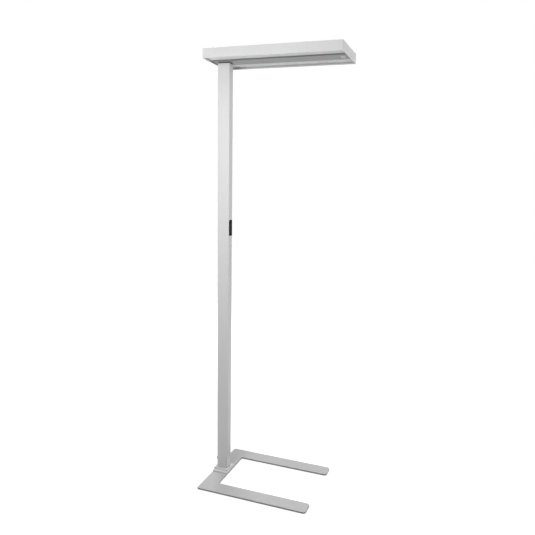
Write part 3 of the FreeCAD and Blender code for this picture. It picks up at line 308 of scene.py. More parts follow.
# ---------------------------------------------------------------- finishes
METAL_DUST = (0.62, 0.6, 0.57, 1.0)
ZINC_DUST = (0.5, 0.48, 0.45, 1.0)
ACRYLIC_DUST = (0.6, 0.58, 0.55, 1.0)
WINDOW_DUST = (0.7, 0.69, 0.66, 1.0)
WHITE_DUST = (0.62, 0.6, 0.56, 1.0)
PLASTIC_DUST = grey(0.42)
# Near-black grey of the painted shade in crevices and recesses.
CREVICE_SHADE_GREY = grey(0.07)


def new_finish(name, **constants):
    """Material with one Principled shader; constants are its fixed sockets."""
    material = bpy.data.materials.new(name)
    material.use_nodes = True
    tree = material.node_tree
    tree.nodes.clear()
    shader = place(tree, "ShaderNodeBsdfPrincipled", {k.replace("_", " "): v for k, v in constants.items()})
    place(tree, "ShaderNodeOutputMaterial", {"Surface": shader.outputs[0]})
    return material, tree, shader


def feed(tree, shader, **sockets):
    for name, value in sockets.items():
        tree.links.new(value, shader.inputs[name.replace("_", " ")])


def bumped(tree, height, relief, normal=None):
    """Normal with a relief of the given depth."""
    feeds = {"Height": height, "Distance": relief, "Strength": 1.0}
    if normal is not None:
        feeds["Normal"] = normal
    return place(tree, "ShaderNodeBump", feeds).outputs[0]


def coated_metal(name, level, edge_level, roughness, metallic, dust, upright=1.0):
    """Silver-grey powder coat with flakes, dust on level faces, painted shade in crevices and lighter rubbed
    edges.

    Upright faces are darker than level faces by the factor given for them.
    """
    material, tree, shader = new_finish(name, Metallic=metallic)
    grain = use(tree, COAT_GRAIN, Peel_Size=1.1 * MM, Flake_Size=0.4 * MM, Unevenness=0.035)
    hands = use(tree, HANDLING, Smudge=0.5, Scratch=0.25, Dust=dust)
    edge = use(tree, EASED_EDGE, Radius=0.6 * MM)
    shade_in_crevices = use(tree, CREVICE_SHADE, Reach=2.2 * MM, Amount=0.75)
    level_face = calc(tree, "ABSOLUTE", height_of(tree, surface_normal(tree)))
    # Upright faces darker than level faces by the factor upright.
    upright_darkening = remap(tree, level_face, 0.3, 0.6, upright, 1.0)
    colour = shaded(tree, grey(level), calc(tree, "MULTIPLY", grain["Shade"], upright_darkening))
    colour = covered(tree, colour, edge["Edge Mask"], 0.55, grey(edge_level))
    colour = covered(tree, colour, hands["Scratch Mask"], 0.5, grey(level * 1.25))
    # Painted shade: crevices, steps and recesses darkened towards a near-black grey.
    colour = mixed(tree, shade_in_crevices["Crevice Mask"], colour, CREVICE_SHADE_GREY)
    colour = mixed(tree, hands["Dust Mask"], colour, METAL_DUST)
    rough = calc(tree, "ADD", grain["Sheen"], roughness)
    rough = raised(tree, rough, hands["Smudge Mask"], -0.07)
    rough = raised(tree, rough, hands["Dust Mask"], 0.3, clamp=True)
    normal = bumped(tree, grain["Height"], 0.11 * MM, edge["Normal"])
    feed(tree, shader, Base_Color=colour, Roughness=rough, Normal=normal)
    return material


def drawn_metal(name, level, roughness, metallic, stretch, contrast, tint=(1.0, 1.0, 1.0)):
    """Extruded or rolled metal with die lines, faint smudges and hair scratches."""
    material, tree, shader = new_finish(name, Metallic=metallic)
    lines = use(tree, DRAWN_LINES, Stretch=stretch, Contrast=contrast)
    hands = use(tree, HANDLING, Smudge=0.6, Scratch=0.35, Dust=0.1)
    edge = use(tree, EASED_EDGE, Radius=0.5 * MM)
    brightest = 0.9
    colour = shaded(tree, [level * part for part in tint], lines["Shade"])
    colour = covered(tree, colour, edge["Edge Mask"], 0.4, grey(min(brightest, level * 1.25)))
    colour = covered(tree, colour, hands["Scratch Mask"], 0.5, grey(level * 1.2))
    rough = calc(tree, "ADD", lines["Sheen"], roughness)
    rough = raised(tree, rough, hands["Smudge Mask"], 0.08, clamp=True)
    normal = bumped(tree, lines["Height"], 0.04 * MM, edge["Normal"])
    feed(tree, shader, Base_Color=colour, Roughness=rough, Normal=normal)
    return material


def moulded_plastic(name, colour, roughness, grain_size, relief, wear, gloss=0.5):
    """Grained plastic, polished where fingers and edges rub it."""
    material, tree, shader = new_finish(name, IOR=1.49, Specular_IOR_Level=gloss)
    grain = use(tree, MOULDED_GRAIN, Grain_Size=grain_size)
    hands = use(tree, HANDLING, Smudge=wear, Scratch=wear, Dust=0.25)
    edge = use(tree, EASED_EDGE, Radius=0.4 * MM)
    rubbed = [min(1.0, 1.6 * part + 0.01) for part in colour[:3]] + [1.0]
    tone = shaded(tree, colour, grain["Shade"])
    tone = covered(tree, tone, edge["Edge Mask"], 0.35, rubbed)
    tone = covered(tree, tone, hands["Dust Mask"], 0.3, PLASTIC_DUST)
    rough = calc(tree, "ADD", grain["Sheen"], roughness)
    rough = raised(tree, rough, hands["Smudge Mask"], -0.16, clamp=True)
    normal = bumped(tree, grain["Height"], relief, edge["Normal"])
    feed(tree, shader, Base_Color=tone, Roughness=rough, Normal=normal)
    return material


def zinc_plated(name):
    """Galvanised sheet: soft-edged spangles with a faint blue and straw tint."""
    material, tree, shader = new_finish(name, Metallic=0.9)
    spangles_per_metre = 110.0
    blue_tint = (0.5, 0.52, 0.55, 1.0)
    straw_tint = (0.64, 0.63, 0.6, 1.0)
    point = object_place(tree)
    spangle = red_of(tree, cells(tree, point, spangles_per_metre, "Color"))
    hands = use(tree, HANDLING, Smudge=0.6, Scratch=0.5, Dust=0.3)
    edge = use(tree, EASED_EDGE, Radius=0.5 * MM)
    colour = mixed(tree, spangle, blue_tint, straw_tint)
    colour = mixed(tree, hands["Dust Mask"], colour, ZINC_DUST)
    colour = mixed(tree, edge["Edge Mask"], colour, grey(0.75))
    rough = remap(tree, spangle, 0.0, 1.0, 0.3, 0.48)
    rough = raised(tree, rough, hands["Smudge Mask"], 0.1, clamp=True)
    normal = bumped(tree, noise(tree, point, 420.0, detail=3.0), 0.05 * MM, edge["Normal"])
    feed(tree, shader, Base_Color=colour, Roughness=rough, Normal=normal)
    return material


def opal_acrylic(name):
    """Milky prismatic sheet with faint clouds, smudges and a thin gloss."""
    material, tree, shader = new_finish(name, IOR=1.49, Subsurface_Weight=0.25, Subsurface_Scale=4.0 * MM,
                                        Coat_Weight=0.3, Coat_Roughness=0.12)
    milky_white = (0.885, 0.88, 0.875, 1.0)
    point = object_place(tree)
    cloud = noise(tree, point, 7.0, detail=3.0)
    hands = use(tree, HANDLING, Smudge=0.4, Scratch=0.3, Dust=0.15)
    colour = shaded(tree, milky_white, spread(tree, cloud, 0.98, 1.02))
    colour = mixed(tree, hands["Dust Mask"], colour, ACRYLIC_DUST)
    rough = spread(tree, noise(tree, point, 900.0), 0.26, 0.36)
    rough = raised(tree, rough, hands["Smudge Mask"], 0.12, clamp=True)
    normal = bumped(tree, noise(tree, point, 700.0), 0.03 * MM)
    feed(tree, shader, Base_Color=colour, Roughness=rough, Normal=normal)
    return material


def clear_acrylic(name):
    """Clear sheet with polishing haze, hair scratches and a little dust; it lets light through."""
    material, tree, shader = new_finish(name, IOR=1.49, Transmission_Weight=1.0)
    clear_tint = (0.95, 0.97, 0.96, 1.0)
    shadow_lost = 0.92
    point = object_place(tree)
    hands = use(tree, HANDLING, Smudge=0.7, Scratch=0.8, Dust=0.25)
    colour = mixed(tree, hands["Dust Mask"], clear_tint, WINDOW_DUST)
    marks = calc(tree, "MULTIPLY", hands["Scratch Mask"], 0.3)
    marks = raised(tree, marks, hands["Smudge Mask"], 0.09)
    rough = calc(tree, "ADD", marks, 0.03, clamp=True)
    normal = bumped(tree, noise(tree, point, 30.0, detail=1.0), 0.08 * MM)
    shadow = place(tree, "ShaderNodeLightPath").outputs["Is Shadow Ray"]
    alpha = calc(tree, "SUBTRACT", 1.0, calc(tree, "MULTIPLY", shadow, shadow_lost))
    feed(tree, shader, Base_Color=colour, Roughness=rough, Normal=normal, Alpha=alpha)
    return material


def black_rubber(name):
    """Black rubber with talc in its pores and paler scuffs on its edges."""
    material, tree, shader = new_finish(name, IOR=1.5)
    rubber_black = (0.022, 0.022, 0.023, 1.0)
    talc = (0.09, 0.088, 0.085, 1.0)
    fullest = 0.5
    grain = use(tree, MOULDED_GRAIN, Grain_Size=0.9 * MM)
    edge = use(tree, EASED_EDGE, Radius=0.8 * MM)
    pores = noise(tree, object_place(tree), 380.0, detail=4.0, rough=0.7)
    pores = remap(tree, pores, 0.55, 0.75, 0.0, fullest)
    colour = shaded(tree, rubber_black, grain["Shade"])
    colour = mixed(tree, pores, colour, talc)
    colour = covered(tree, colour, edge["Edge Mask"], 0.5, grey(0.11))
    rough = calc(tree, "ADD", remap(tree, pores, 0.0, fullest, 0.62, 0.9), grain["Sheen"], clamp=True)
    feed(tree, shader, Base_Color=colour, Roughness=rough, Normal=bumped(tree, grain["Height"], 0.12 * MM))
    return material


def light_board(name, chip_side, surface_height, centre_offset, first_chip, chip_pitch):
    """White solder mask with bare pads beside each chip; the chips stand out of the board's surface."""
    material, tree, shader = new_finish(name, IOR=1.5)
    mask_white = (0.78, 0.79, 0.77, 1.0)
    track_white = (0.68, 0.7, 0.67, 1.0)
    pad_tin = (0.62, 0.6, 0.55, 1.0)
    chip_white = (0.82, 0.82, 0.8, 1.0)
    phosphor = (0.85, 0.62, 0.12, 1.0)
    chip_proud = 0.1 * MM
    lens_half = 1.1 * MM
    lens_rim = 0.2 * MM
    pad_start = 1.9 * MM
    pad_end = 3.1 * MM
    pad_half = 1.5 * MM
    track_half = 0.7 * MM
    point = object_place(tree)
    axes = place(tree, "ShaderNodeSeparateXYZ", {0: point}).outputs
    proud = calc(tree, "MULTIPLY", calc(tree, "SUBTRACT", axes[2], surface_height), chip_side)
    chip = calc(tree, "GREATER_THAN", proud, chip_proud)
    turns = calc(tree, "DIVIDE", calc(tree, "SUBTRACT", axes[0], first_chip), chip_pitch)
    nearest = calc(tree, "MULTIPLY", calc(tree, "SUBTRACT", turns, calc(tree, "ROUND", turns)), chip_pitch)
    along = calc(tree, "ABSOLUTE", nearest)
    across = calc(tree, "ABSOLUTE", calc(tree, "SUBTRACT", calc(tree, "ABSOLUTE", axes[1]), centre_offset))
    pad_along = calc(tree, "MULTIPLY", calc(tree, "GREATER_THAN", along, pad_start),
                     calc(tree, "LESS_THAN", along, pad_end))
    pad = calc(tree, "MULTIPLY", pad_along, calc(tree, "LESS_THAN", across, pad_half))
    track = calc(tree, "MULTIPLY", calc(tree, "LESS_THAN", across, track_half),
                 calc(tree, "GREATER_THAN", along, pad_end))
    mask_tone = spread(tree, noise(tree, point, 300.0, detail=3.0), 0.97, 1.03)
    colour = shaded(tree, mask_white, mask_tone)
    colour = mixed(tree, track, colour, track_white)
    colour = mixed(tree, pad, colour, pad_tin)
    away = calc(tree, "MAXIMUM", along, across)
    lens = remap(tree, away, lens_half, lens_half + lens_rim, 1.0, 0.0)
    colour = mixed(tree, chip, colour, mixed(tree, lens, chip_white, phosphor))
    rough = mixed(tree, pad, grey(0.42), grey(0.25))
    height = raised(tree, calc(tree, "MULTIPLY", pad, 0.6), track, 0.4)
    feed(tree, shader, Base_Color=colour, Roughness=rough, Metallic=calc(tree, "MULTIPLY", pad, 0.9),
         Normal=bumped(tree, height, 0.08 * MM))
    return material


def circuit_board(name):
    """Green laminate with a weave under the mask and a net of finer tracks."""
    material, tree, shader = new_finish(name, IOR=1.5)
    laminate_green = (0.02, 0.13, 0.055, 1.0)
    track_green = (0.05, 0.26, 0.11, 1.0)
    bricks_per_metre = (420.0, 420.0, 420.0)
    threads_per_metre = (1.0, 1600.0, 1600.0)
    point = object_place(tree)
    bricks = place(tree, "ShaderNodeTexBrick",
                   {"Vector": stretched(tree, point, bricks_per_metre), "Scale": 1.0,
                    "Color1": grey(0.0), "Color2": grey(0.25), "Mortar": grey(1.0), "Mortar Size": 0.12})
    net = red_of(tree, bricks.outputs["Color"])
    weave = noise(tree, stretched(tree, point, threads_per_metre), 1.0)
    colour = mixed(tree, net, laminate_green, track_green)
    colour = shaded(tree, colour, spread(tree, weave, 0.9, 1.1))
    rough = spread(tree, weave, 0.3, 0.42)
    feed(tree, shader, Base_Color=colour, Roughness=rough, Normal=bumped(tree, net, 0.05 * MM))
    return material


def lead_sheath(name):
    """Black flexible sheath with a faint extrusion line and talc bloom."""
    material, tree, shader = new_finish(name, IOR=1.47)
    sheath_black = (0.03, 0.03, 0.032, 1.0)
    talc = (0.085, 0.083, 0.08, 1.0)
    fullest = 0.4
    lines_per_metre = (900.0, 60.0, 900.0)
    point = object_place(tree)
    bloom = remap(tree, noise(tree, point, 120.0, detail=4.0, rough=0.65), 0.45, 0.75, 0.0, fullest)
    colour = mixed(tree, bloom, sheath_black, talc)
    rough = remap(tree, bloom, 0.0, fullest, 0.42, 0.62)
    normal = bumped(tree, noise(tree, stretched(tree, point, lines_per_metre), 1.0), 0.04 * MM)
    feed(tree, shader, Base_Color=colour, Roughness=rough, Normal=normal)
    return material


def sheet_white(name, level, roughness):
    """Satin white stoved sheet that spreads the light."""
    material, tree, shader = new_finish(name, IOR=1.5)
    warmth = 0.985
    grain = use(tree, COAT_GRAIN, Peel_Size=1.4 * MM, Flake_Size=0.6 * MM, Unevenness=0.01)
    hands = use(tree, HANDLING, Smudge=0.3, Scratch=0.2, Dust=0.3)
    colour = shaded(tree, (level, level, level * warmth, 1.0), grain["Shade"])
    colour = mixed(tree, hands["Dust Mask"], colour, WHITE_DUST)
    rough = calc(tree, "ADD", grain["Sheen"], roughness, clamp=True)
    feed(tree, shader, Base_Color=colour, Roughness=rough, Normal=bumped(tree, grain["Height"], 0.06 * MM))
    return material


# ---------------------------------------------------------------- finish of each piece
LINES_ALONG_X = (3.0, 1400.0, 1400.0)
LINES_ALONG_Z = (1400.0, 1400.0, 2.0)
LINES_ON_SCREWS = (700.0, 700.0, 700.0)

HEAD_SILVER = coated_metal("head silver coat", level=0.58, edge_level=0.68,
                           roughness=0.44, metallic=0.2, dust=0.12)
BASE_SILVER = coated_metal("base silver coat", level=0.6, edge_level=0.7,
                           roughness=0.46, metallic=0.15, dust=0.16, upright=0.45)
# Painted light: the foot bracket carries the base plate's coat at a lighter level, standing in for the light
# on its faces.
FOOT_SILVER_PAINTED_LIGHTER = coated_metal("foot silver coat painted lighter", level=0.78, edge_level=0.8,
                           roughness=0.46, metallic=0.1, dust=0.1)
STRIP_GREY = coated_metal("strip grey coat", level=0.26, edge_level=0.36,
                          roughness=0.42, metallic=0.15, dust=0.1)
COLUMN_SILVER = drawn_metal("column anodised silver", level=0.64, roughness=0.42, metallic=0.2,
                            stretch=LINES_ALONG_Z, contrast=0.035)
KEY_ALUMINIUM = drawn_metal("mill aluminium", level=0.72, roughness=0.32, metallic=0.95,
                            stretch=LINES_ALONG_X, contrast=0.08)
SCREW_STEEL = drawn_metal("bright screw steel", level=0.55, roughness=0.28, metallic=1.0,
                          stretch=LINES_ON_SCREWS, contrast=0.12, tint=(1.0, 0.99, 0.96))
ZINC_STEEL = zinc_plated("zinc-plated sheet")
BLACK_PLASTIC = moulded_plastic("black moulded plastic", (0.0045, 0.0045, 0.005, 1.0), roughness=0.6,
                                grain_size=0.7 * MM, relief=0.1 * MM, wear=0.3, gloss=0.04)
BUTTON_BLACK = moulded_plastic("black button", (0.006, 0.006, 0.007, 1.0), roughness=0.5,
                               grain_size=0.5 * MM, relief=0.06 * MM, wear=0.8, gloss=0.06)
NECK_GREY = moulded_plastic("dark grey neck plastic", (0.05, 0.05, 0.052, 1.0), roughness=0.5,
                            grain_size=0.7 * MM, relief=0.1 * MM, wear=0.2, gloss=0.3)
SIGN_GREY = moulded_plastic("grey printed sign", (0.11, 0.11, 0.11, 1.0), roughness=0.55,
                            grain_size=0.4 * MM, relief=0.02 * MM, wear=0.6, gloss=0.2)
GLAND_GREY = moulded_plastic("light grey gland plastic", (0.5, 0.51, 0.52, 1.0), roughness=0.45,
                             grain_size=0.6 * MM, relief=0.05 * MM, wear=0.3)
SWITCH_GREY = moulded_plastic("grey switch plastic", (0.2, 0.2, 0.21, 1.0), roughness=0.45,
                              grain_size=0.5 * MM, relief=0.05 * MM, wear=0.1)
WHITE_PLASTIC = moulded_plastic("white moulded plastic", (0.76, 0.76, 0.74, 1.0), roughness=0.4,
                                grain_size=0.6 * MM, relief=0.04 * MM, wear=0.2)
RUBBER = black_rubber("black rubber")
OPAL = opal_acrylic("opal acrylic")
CLEAR = clear_acrylic("clear acrylic")
WHITE_SHEET = sheet_white("white stoved sheet", level=0.8, roughness=0.5)
DRIVER_WHITE = sheet_white("white driver case", level=0.72, roughness=0.42)
CIRCUIT_GREEN = circuit_board("green circuit board")
LEAD_BLACK = lead_sheath("black lead sheath")


def board_finish(name, node, chip_side):
    """Finish of a pair of light boards, from the node's own box."""
    low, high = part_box(node)
    chip_height = 0.7 * MM
    surface = high.z - chip_height if chip_side > 0 else low.z + chip_height
    board_half = 10.0 * MM
    run_in = 60.0 * MM
    chips = 12
    first = low.x + run_in
    pitch = (high.x - low.x - 2 * run_in) / (chips - 1)
    return light_board(name, chip_side, surface, high.y - board_half, first, pitch)


FINISHES = {
    HEAD_SILVER: ["front_rail", "rear_rail", "column_end_rail", "outer_end_rail", "top_cover"],
    BASE_SILVER: ["base_plate"],
    FOOT_SILVER_PAINTED_LIGHTER: ["foot_bracket"],
    STRIP_GREY: ["centre_strip"],
    COLUMN_SILVER: ["column"],
    KEY_ALUMINIUM: ["corner_keys"],
    SCREW_STEEL: ["base_screws", "neck_bolts", "tray_screws", "driver_screws"],
    ZINC_STEEL: ["spine", "gear_tray", "neck_plate", "cover_clips"],
    BLACK_PLASTIC: ["control_housing", "inlet_nut"],
    NECK_GREY: ["neck_collar"],
    GLAND_GREY: ["cable_inlet"],
    BUTTON_BLACK: ["brighter_button", "dimmer_button"],
    SWITCH_GREY: ["switch_bodies", "brighter_plunger", "dimmer_plunger"],
    WHITE_PLASTIC: ["board_links", "terminal_block", "sensor_lens", "sensor_module"],
    RUBBER: ["foot_pads", "inlet_seal"],
    OPAL: ["front_diffuser", "rear_diffuser"],
    CLEAR: ["front_uplight_window", "rear_uplight_window", "status_window"],
    WHITE_SHEET: ["front_reflector", "rear_reflector"],
    DRIVER_WHITE: ["led_driver"],
    CIRCUIT_GREEN: ["control_board"],
    LEAD_BLACK: ["supply_lead", "control_lead", "driver_leads", "board_leads", "sensor_lead"],
    board_finish("upper light board", "indirect_led_boards", 1): ["indirect_led_boards"],
    board_finish("lower light board", "direct_led_boards", -1): ["direct_led_boards"],
}

for finish, names in FINISHES.items():
    for node_name in names:
        for material_slot in nodes[node_name].material_slots:
            material_slot.material = finish


# ---------------------------------------------------------------- shape helpers
def piece(name, shape, finish, body, slot, *stands_for, smooth_angle=30.0):
    """Object from a finished shape, in place in the lamp's frame."""
    bmesh.ops.recalc_face_normals(shape, faces=shape.faces)
    mesh = bpy.data.meshes.new(name)
    shape.to_mesh(mesh)
    shape.free()
    mesh.materials.append(finish)
    mesh.shade_smooth()
    mesh.set_sharp_from_angle(angle=math.radians(smooth_angle))
    made = bpy.data.objects.new(name, mesh)
    bpy.context.scene.collection.objects.link(made)
    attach(made, body)
    if stands_for:
        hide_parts(*stands_for)


def add_block(shape, low, high, bevel=0.0, segments=2):
    """Box between two corners, with all its edges rounded."""
    size = high - low
    made = bmesh.ops.create_cube(shape, size=1.0)
    verts = made["verts"]
    bmesh.ops.scale(shape, vec=size, verts=verts)
    bmesh.ops.translate(shape, vec=(low + high) / 2, verts=verts)
    if bevel:
        edges = list({edge for vert in verts for edge in vert.link_edges})
        bmesh.ops.bevel(shape, geom=edges, offset=bevel, offset_type="OFFSET", affect="EDGES",
                        segments=segments, profile=0.5, material=-1)


def add_turned(shape, outline, centre, axis, steps):
    """Solid of revolution; the outline gives (radius, height) along the axis from the centre."""
    turn = Z_AXIS.rotation_difference(axis)
    verts = [shape.verts.new(centre + turn @ Vector((radius, 0, height))) for radius, height in outline]
    edges = [shape.edges.new(pair) for pair in zip(verts, verts[1:])]
    bmesh.ops.spin(shape, geom=verts + edges, cent=centre, axis=axis, angle=math.tau, steps=steps,
                   use_merge=True, use_duplicate=False)
    bmesh.ops.remove_doubles(shape, verts=shape.verts, dist=SAME_POINT)


# ---------------------------------------------------------------- prismatic diffusers
PRISM_PITCH = 3.0 * MM
PRISM_DEPTH = 0.8 * MM


def diffuser_plate(name, node):
    """Sheet whose underside is a field of small pyramids."""
    low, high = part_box(node)
    size = high - low
    shape = bmesh.new()
    bmesh.ops.create_grid(shape, x_segments=round(size.x / PRISM_PITCH),
                          y_segments=round(size.y / PRISM_PITCH), size=0.5)
    bmesh.ops.scale(shape, vec=(size.x, size.y, 1.0), verts=shape.verts)
    middle = (low + high) / 2
    bmesh.ops.translate(shape, vec=(middle.x, middle.y, low.z + PRISM_DEPTH), verts=shape.verts)
    bmesh.ops.reverse_faces(shape, faces=shape.faces)
    underside = list(shape.faces)
    border = [edge for edge in shape.edges if edge.is_boundary]
    grown = bmesh.ops.extrude_edge_only(shape, edges=border)["geom"]
    upper = [part for part in grown if isinstance(part, bmesh.types.BMVert)]
    bmesh.ops.translate(shape, vec=(0, 0, size.z - PRISM_DEPTH), verts=upper)
    rim = [edge for edge in shape.edges if edge.is_boundary]
    bmesh.ops.edgeloop_fill(shape, edges=rim)
    bmesh.ops.poke(shape, faces=underside, offset=PRISM_DEPTH)
    piece(name, shape, OPAL, "lamp", "opal_acrylic", node, smooth_angle=5.0)


diffuser_plate("front_prismatic_diffuser", "front_diffuser")
diffuser_plate("rear_prismatic_diffuser", "rear_diffuser")


# ---------------------------------------------------------------- sensor lens
def sensor_lens_piece():
    """Shallow dome with stepped rings below the strip, and its square flange above it."""
    low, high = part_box("sensor_lens")
    strip_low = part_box("centre_strip")[0]
    centre = Vector(((low.x + high.x) / 2, (low.y + high.y) / 2, 0))
    radius = 10.0 * MM
    rings = 9
    step = 0.12 * MM
    rim = 1.2 * MM
    bowl_share = 0.75
    corner_in = 0.3 * MM
    corner_low_share = 0.72
    corner_high_share = 0.85
    flange_rise = 1.5 * MM
    flange_low = strip_low.z + flange_rise
    drop = strip_low.z - low.z
    outline = [(0.0, low.z)]
    for ring in range(1, rings + 1):
        r = (radius - rim) * ring / rings
        height = low.z + drop * bowl_share * (r / radius) ** 2
        outline.append((r, height))
        outline.append((r, height - step if ring < rings else height + step))
    outline += [(radius - corner_in, low.z + drop * corner_low_share),
                (radius, low.z + drop * corner_high_share), (radius, flange_low), (0.0, flange_low)]
    shape = bmesh.new()
    add_turned(shape, outline, centre, Z_AXIS, steps=48)
    add_block(shape, Vector((low.x, low.y, flange_low)), high, bevel=0.3 * MM)
    piece("sensor_dome", shape, WHITE_PLASTIC, "lamp", "white_plastic", "sensor_lens")


sensor_lens_piece()


# ---------------------------------------------------------------- cable gland
def cable_gland():
    """Cable gland: hexagonal flange, ribbed dome cap and threaded shank."""
    low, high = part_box("cable_inlet")
    column_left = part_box("column")[0].x
    centre = Vector((0, 0, (low.z + high.z) / 2))
    bore = 3.1 * MM
    shape = bmesh.new()

    flange_flats = 17.0 * MM
    flange = 3.0 * MM
    crown = 0.6 * MM
    corner = flange_flats / 2 / math.cos(math.radians(30))
    hex_start = column_left - flange
    outline = [(bore, hex_start), (corner - crown, hex_start), (corner, hex_start + crown),
               (corner, column_left), (bore, column_left)]
    add_turned(shape, outline + outline[:1], centre, X_AXIS, steps=6)

    cap = 6.5 * MM
    shoulder_in = 0.6 * MM
    brow_in = 1.7 * MM
    brow_height = 0.8 * MM
    shoulder_height = 2.4 * MM
    dome_height = 4.0 * MM
    mouth_flare = 0.7 * MM
    mouth_depth = 0.4 * MM
    cap_outline = [(bore, hex_start), (cap, hex_start), (cap, low.x + dome_height),
                   (cap - shoulder_in, low.x + shoulder_height), (cap - brow_in, low.x + brow_height),
                   (bore + mouth_flare, low.x), (bore, low.x + mouth_depth)]
    add_turned(shape, cap_outline + cap_outline[:1], centre, X_AXIS, steps=36)

    shank = 5.0 * MM
    thread_depth = 0.35 * MM
    turns = 9
    pitch = (high.x - column_left) / turns
    thread = [(bore, column_left)]
    for lap in range(turns):
        start = column_left + pitch * lap
        thread += [(shank - thread_depth, start), (shank, start + pitch / 2)]
    thread += [(shank - thread_depth, high.x), (bore, high.x)]
    add_turned(shape, thread + thread[:1], centre, X_AXIS, steps=36)

    ribs = 12
    rib = Vector((4.6 * MM, 0.9 * MM, 0.7 * MM))
    for index in range(ribs):
        turn = Matrix.Rotation(math.tau * index / ribs, 4, "X")
        before = set(shape.verts)
        at = Vector((hex_start - rib.x / 2, 0, cap))
        add_block(shape, at - rib / 2, at + rib / 2, bevel=0.2 * MM, segments=1)
        grown = [vert for vert in shape.verts if vert not in before]
        bmesh.ops.transform(shape, matrix=Matrix.Translation(centre) @ turn, verts=grown)
    piece("cable_gland", shape, GLAND_GREY, "lamp", "switch_grey", "cable_inlet")


cable_gland()


# ---------------------------------------------------------------- push buttons
def crowned_button(name, node, body, upright):
    """Button with a slightly crowned face and an inlaid plus or minus sign."""
    low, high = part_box(node)
    flange_lap = 0.95 * MM
    flange = 1.2 * MM
    sign_height = 0.1 * MM
    sign_depth = 0.1 * MM
    sign_edge = 0.04 * MM
    crown = 0.12 * MM
    crown_slope = 1.5 * MM
    face_x = high.x - sign_height - crown
    inset = Vector((0, flange_lap, flange_lap))
    shape = bmesh.new()
    add_block(shape, low, Vector((low.x + flange, high.y, high.z)), bevel=0.15 * MM, segments=1)
    before = set(shape.faces)
    add_block(shape, low + inset, Vector((face_x, high.y, high.z)) - inset, bevel=0.45 * MM, segments=3)
    face = max((f for f in shape.faces if f not in before), key=lambda f: f.calc_center_median().x)
    bmesh.ops.inset_region(shape, faces=[face], thickness=crown_slope, depth=crown)
    piece(name, shape, BUTTON_BLACK, body, "button_black", node)
    middle = Vector((face_x + crown, (low.y + high.y) / 2, (low.z + high.z) / 2))
    long_half = 3.2 * MM
    thin_half = 0.45 * MM
    sink = Vector((sign_depth, 0, 0))
    rise = Vector((sign_height, 0, 0))
    sign = bmesh.new()
    across = Vector((0, long_half, thin_half))
    add_block(sign, middle - across - sink, middle + across + rise, bevel=sign_edge, segments=1)
    if upright:
        for side in (-1, 1):
            centre = middle + Vector((0, 0, side * (long_half + thin_half) / 2))
            arm = Vector((0, thin_half, (long_half - thin_half) / 2))
            add_block(sign, centre - arm - sink, centre + arm + rise, bevel=sign_edge, segments=1)
    piece(name + "_sign", sign, SIGN_GREY, body, "switch_grey")


crowned_button("brighter_push_button", "brighter_button", "brighter", True)
crowned_button("dimmer_push_button", "dimmer_button", "dimmer", False)


# ---------------------------------------------------------------- softened small pieces
def soften(node, width, segments=2):
    """Rounds a small piece's edges by modifiers on its own object."""
    weld = nodes[node].modifiers.new("joined corners", "WELD")
    weld.merge_threshold = SAME_POINT
    bevel = nodes[node].modifiers.new("soft edges", "BEVEL")
    bevel.width = width
    bevel.segments = segments
    bevel.limit_method = "ANGLE"
    bevel.angle_limit = math.radians(40.0)


soften("foot_pads", 0.5 * MM)
soften("board_links", 0.4 * MM)
soften("board_leads", 0.5 * MM, segments=3)


# ---------------------------------------------------------------- floor, world and light
FLOOR_HALF = 9.0
FLOOR_DROP = 0.1 * MM
FLOOR_LEVEL = 0.6
FLOOR_GLOW_NEAR = 0.7
FLOOR_GLOW_FAR = 1.0
GLOW_FAR_RADIUS = 1.6
AMBIENT = 0.03


def seen_directly(tree):
    """1 for rays from the camera, from a mirror-like face or through glass."""
    rays = place(tree, "ShaderNodeLightPath").outputs
    both = calc(tree, "MAXIMUM", rays["Is Camera Ray"], rays["Is Glossy Ray"])
    return calc(tree, "MAXIMUM", both, rays["Is Transmission Ray"])


def pale_floor():
    """Matt white floor that looks as white as the background, and keeps the lamp's shadow."""
    shape = bmesh.new()
    bmesh.ops.create_grid(shape, x_segments=1, y_segments=1, size=FLOOR_HALF)
    bmesh.ops.translate(shape, vec=(0, 0, -FLOOR_DROP), verts=shape.verts)
    mesh = bpy.data.meshes.new("floor")
    shape.to_mesh(mesh)
    shape.free()
    floor = bpy.data.objects.new("floor", mesh)
    bpy.context.scene.collection.objects.link(floor)
    material = bpy.data.materials.new("white floor")
    material.use_nodes = True
    tree = material.node_tree
    tree.nodes.clear()
    matt = place(tree, "ShaderNodeBsdfDiffuse", {"Color": grey(FLOOR_LEVEL)})
    away = place(tree, "ShaderNodeVectorMath", {0: object_place(tree)}, operation="LENGTH").outputs["Value"]
    level = remap(tree, away, GLOW_FAR_RADIUS / 2, GLOW_FAR_RADIUS, FLOOR_GLOW_NEAR, FLOOR_GLOW_FAR)
    glow = place(tree, "ShaderNodeEmission",
                 {"Color": grey(1.0), "Strength": calc(tree, "MULTIPLY", seen_directly(tree), level)})
    both = place(tree, "ShaderNodeAddShader", {0: matt.outputs[0], 1: glow.outputs[0]})
    place(tree, "ShaderNodeOutputMaterial", {"Surface": both.outputs[0]})
    mesh.materials.append(material)


def studio_world():
    """White where it is seen, a plain grey level where it only lights."""
    world = bpy.data.worlds.new("studio")
    bpy.context.scene.world = world
    world.use_nodes = True
    tree = world.node_tree
    tree.nodes.clear()
    soft = place(tree, "ShaderNodeBackground", {"Color": grey(1.0), "Strength": AMBIENT})
    white = place(tree, "ShaderNodeBackground", {"Color": grey(1.0), "Strength": 1.0})
    shown = place(tree, "ShaderNodeMixShader",
                  {0: seen_directly(tree), 1: soft.outputs[0], 2: white.outputs[0]})
    place(tree, "ShaderNodeOutputWorld", {"Surface": shown.outputs[0]})


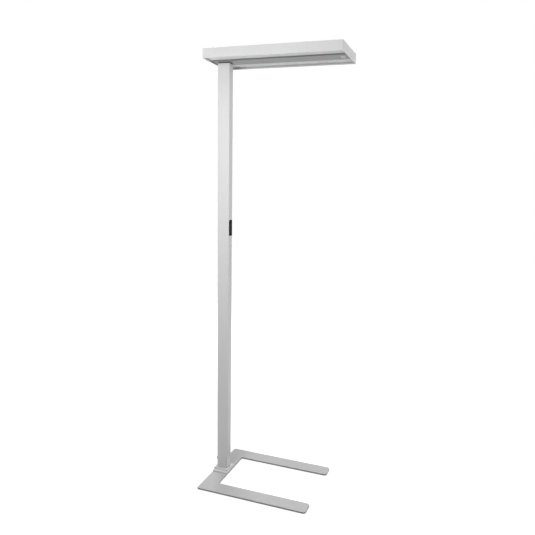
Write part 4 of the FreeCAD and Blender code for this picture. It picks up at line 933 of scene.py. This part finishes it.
def soft_lamp(name, at, towards, size, power):
    """Large square studio lamp that the camera doesn't see."""
    data = bpy.data.lights.new(name, "AREA")
    data.shape = "SQUARE"
    data.size = size
    data.energy = power
    lamp = bpy.data.objects.new(name, data)
    lamp.matrix_world = (Matrix.Translation(at)
                         @ (Vector(towards) - Vector(at)).to_track_quat("-Z", "Y").to_matrix().to_4x4())
    lamp.visible_camera = False
    lamp.visible_glossy = False
    lamp.visible_transmission = False
    bpy.context.scene.collection.objects.link(lamp)


pale_floor()
studio_world()
soft_lamp("front lamp", at=(0.0, -1.3, 1.65), towards=(0.0, 0.0, 1.5), size=0.8, power=18.0)
soft_lamp("right lamp", at=(2.1, 0.55, 1.65), towards=(0.0, 0.0, 1.35), size=1.2, power=26.0)
soft_lamp("ceiling lamp", at=(0.2, 0.1, 3.8), towards=(0.2, 0.0, 0.0), size=1.8, power=14.0)
soft_lamp("front ceiling lamp", at=(0.3, -1.2, 3.4), towards=(0.2, 0.0, 0.0), size=1.5, power=17.0)
soft_lamp("back lamp", at=(-1.8, 2.6, 2.8), towards=(0.2, 0.0, 1.2), size=1.8, power=42.0)


# ---------------------------------------------------------------- camera
# The picture is measured in pixels, the sensor in millimetres and the angles in radians.
PICTURE_SIDE = 535.0
SENSOR_WIDTH = 36.0
FOCAL_PIXELS = 518.987
CENTRE_PIXEL_X = 299.222
CENTRE_PIXEL_Y = 284.882
CAMERA_PLACE = (1.08572, -2.146555, 1.382293)
CAMERA_YAW = 0.323250
CAMERA_DOWN = 0.180359
CAMERA_ROLL = 0.030081


def photograph_camera():
    """Camera at the photograph's viewpoint."""
    data = bpy.data.cameras.new("camera")
    data.sensor_width = SENSOR_WIDTH
    data.lens = SENSOR_WIDTH * FOCAL_PIXELS / PICTURE_SIDE
    data.shift_x = (PICTURE_SIDE / 2 - CENTRE_PIXEL_X) / PICTURE_SIDE
    data.shift_y = (CENTRE_PIXEL_Y - PICTURE_SIDE / 2) / PICTURE_SIDE
    data.clip_end = 100.0
    camera = bpy.data.objects.new("camera", data)
    turn = (Matrix.Rotation(CAMERA_YAW, 4, "Z")
            @ Matrix.Rotation(math.pi / 2 - CAMERA_DOWN, 4, "X")
            @ Matrix.Rotation(CAMERA_ROLL, 4, "Z"))
    camera.matrix_world = Matrix.Translation(CAMERA_PLACE) @ turn
    bpy.context.scene.collection.objects.link(camera)
    bpy.context.scene.camera = camera


photograph_camera()
bpy.context.scene.view_settings.view_transform = "Standard"
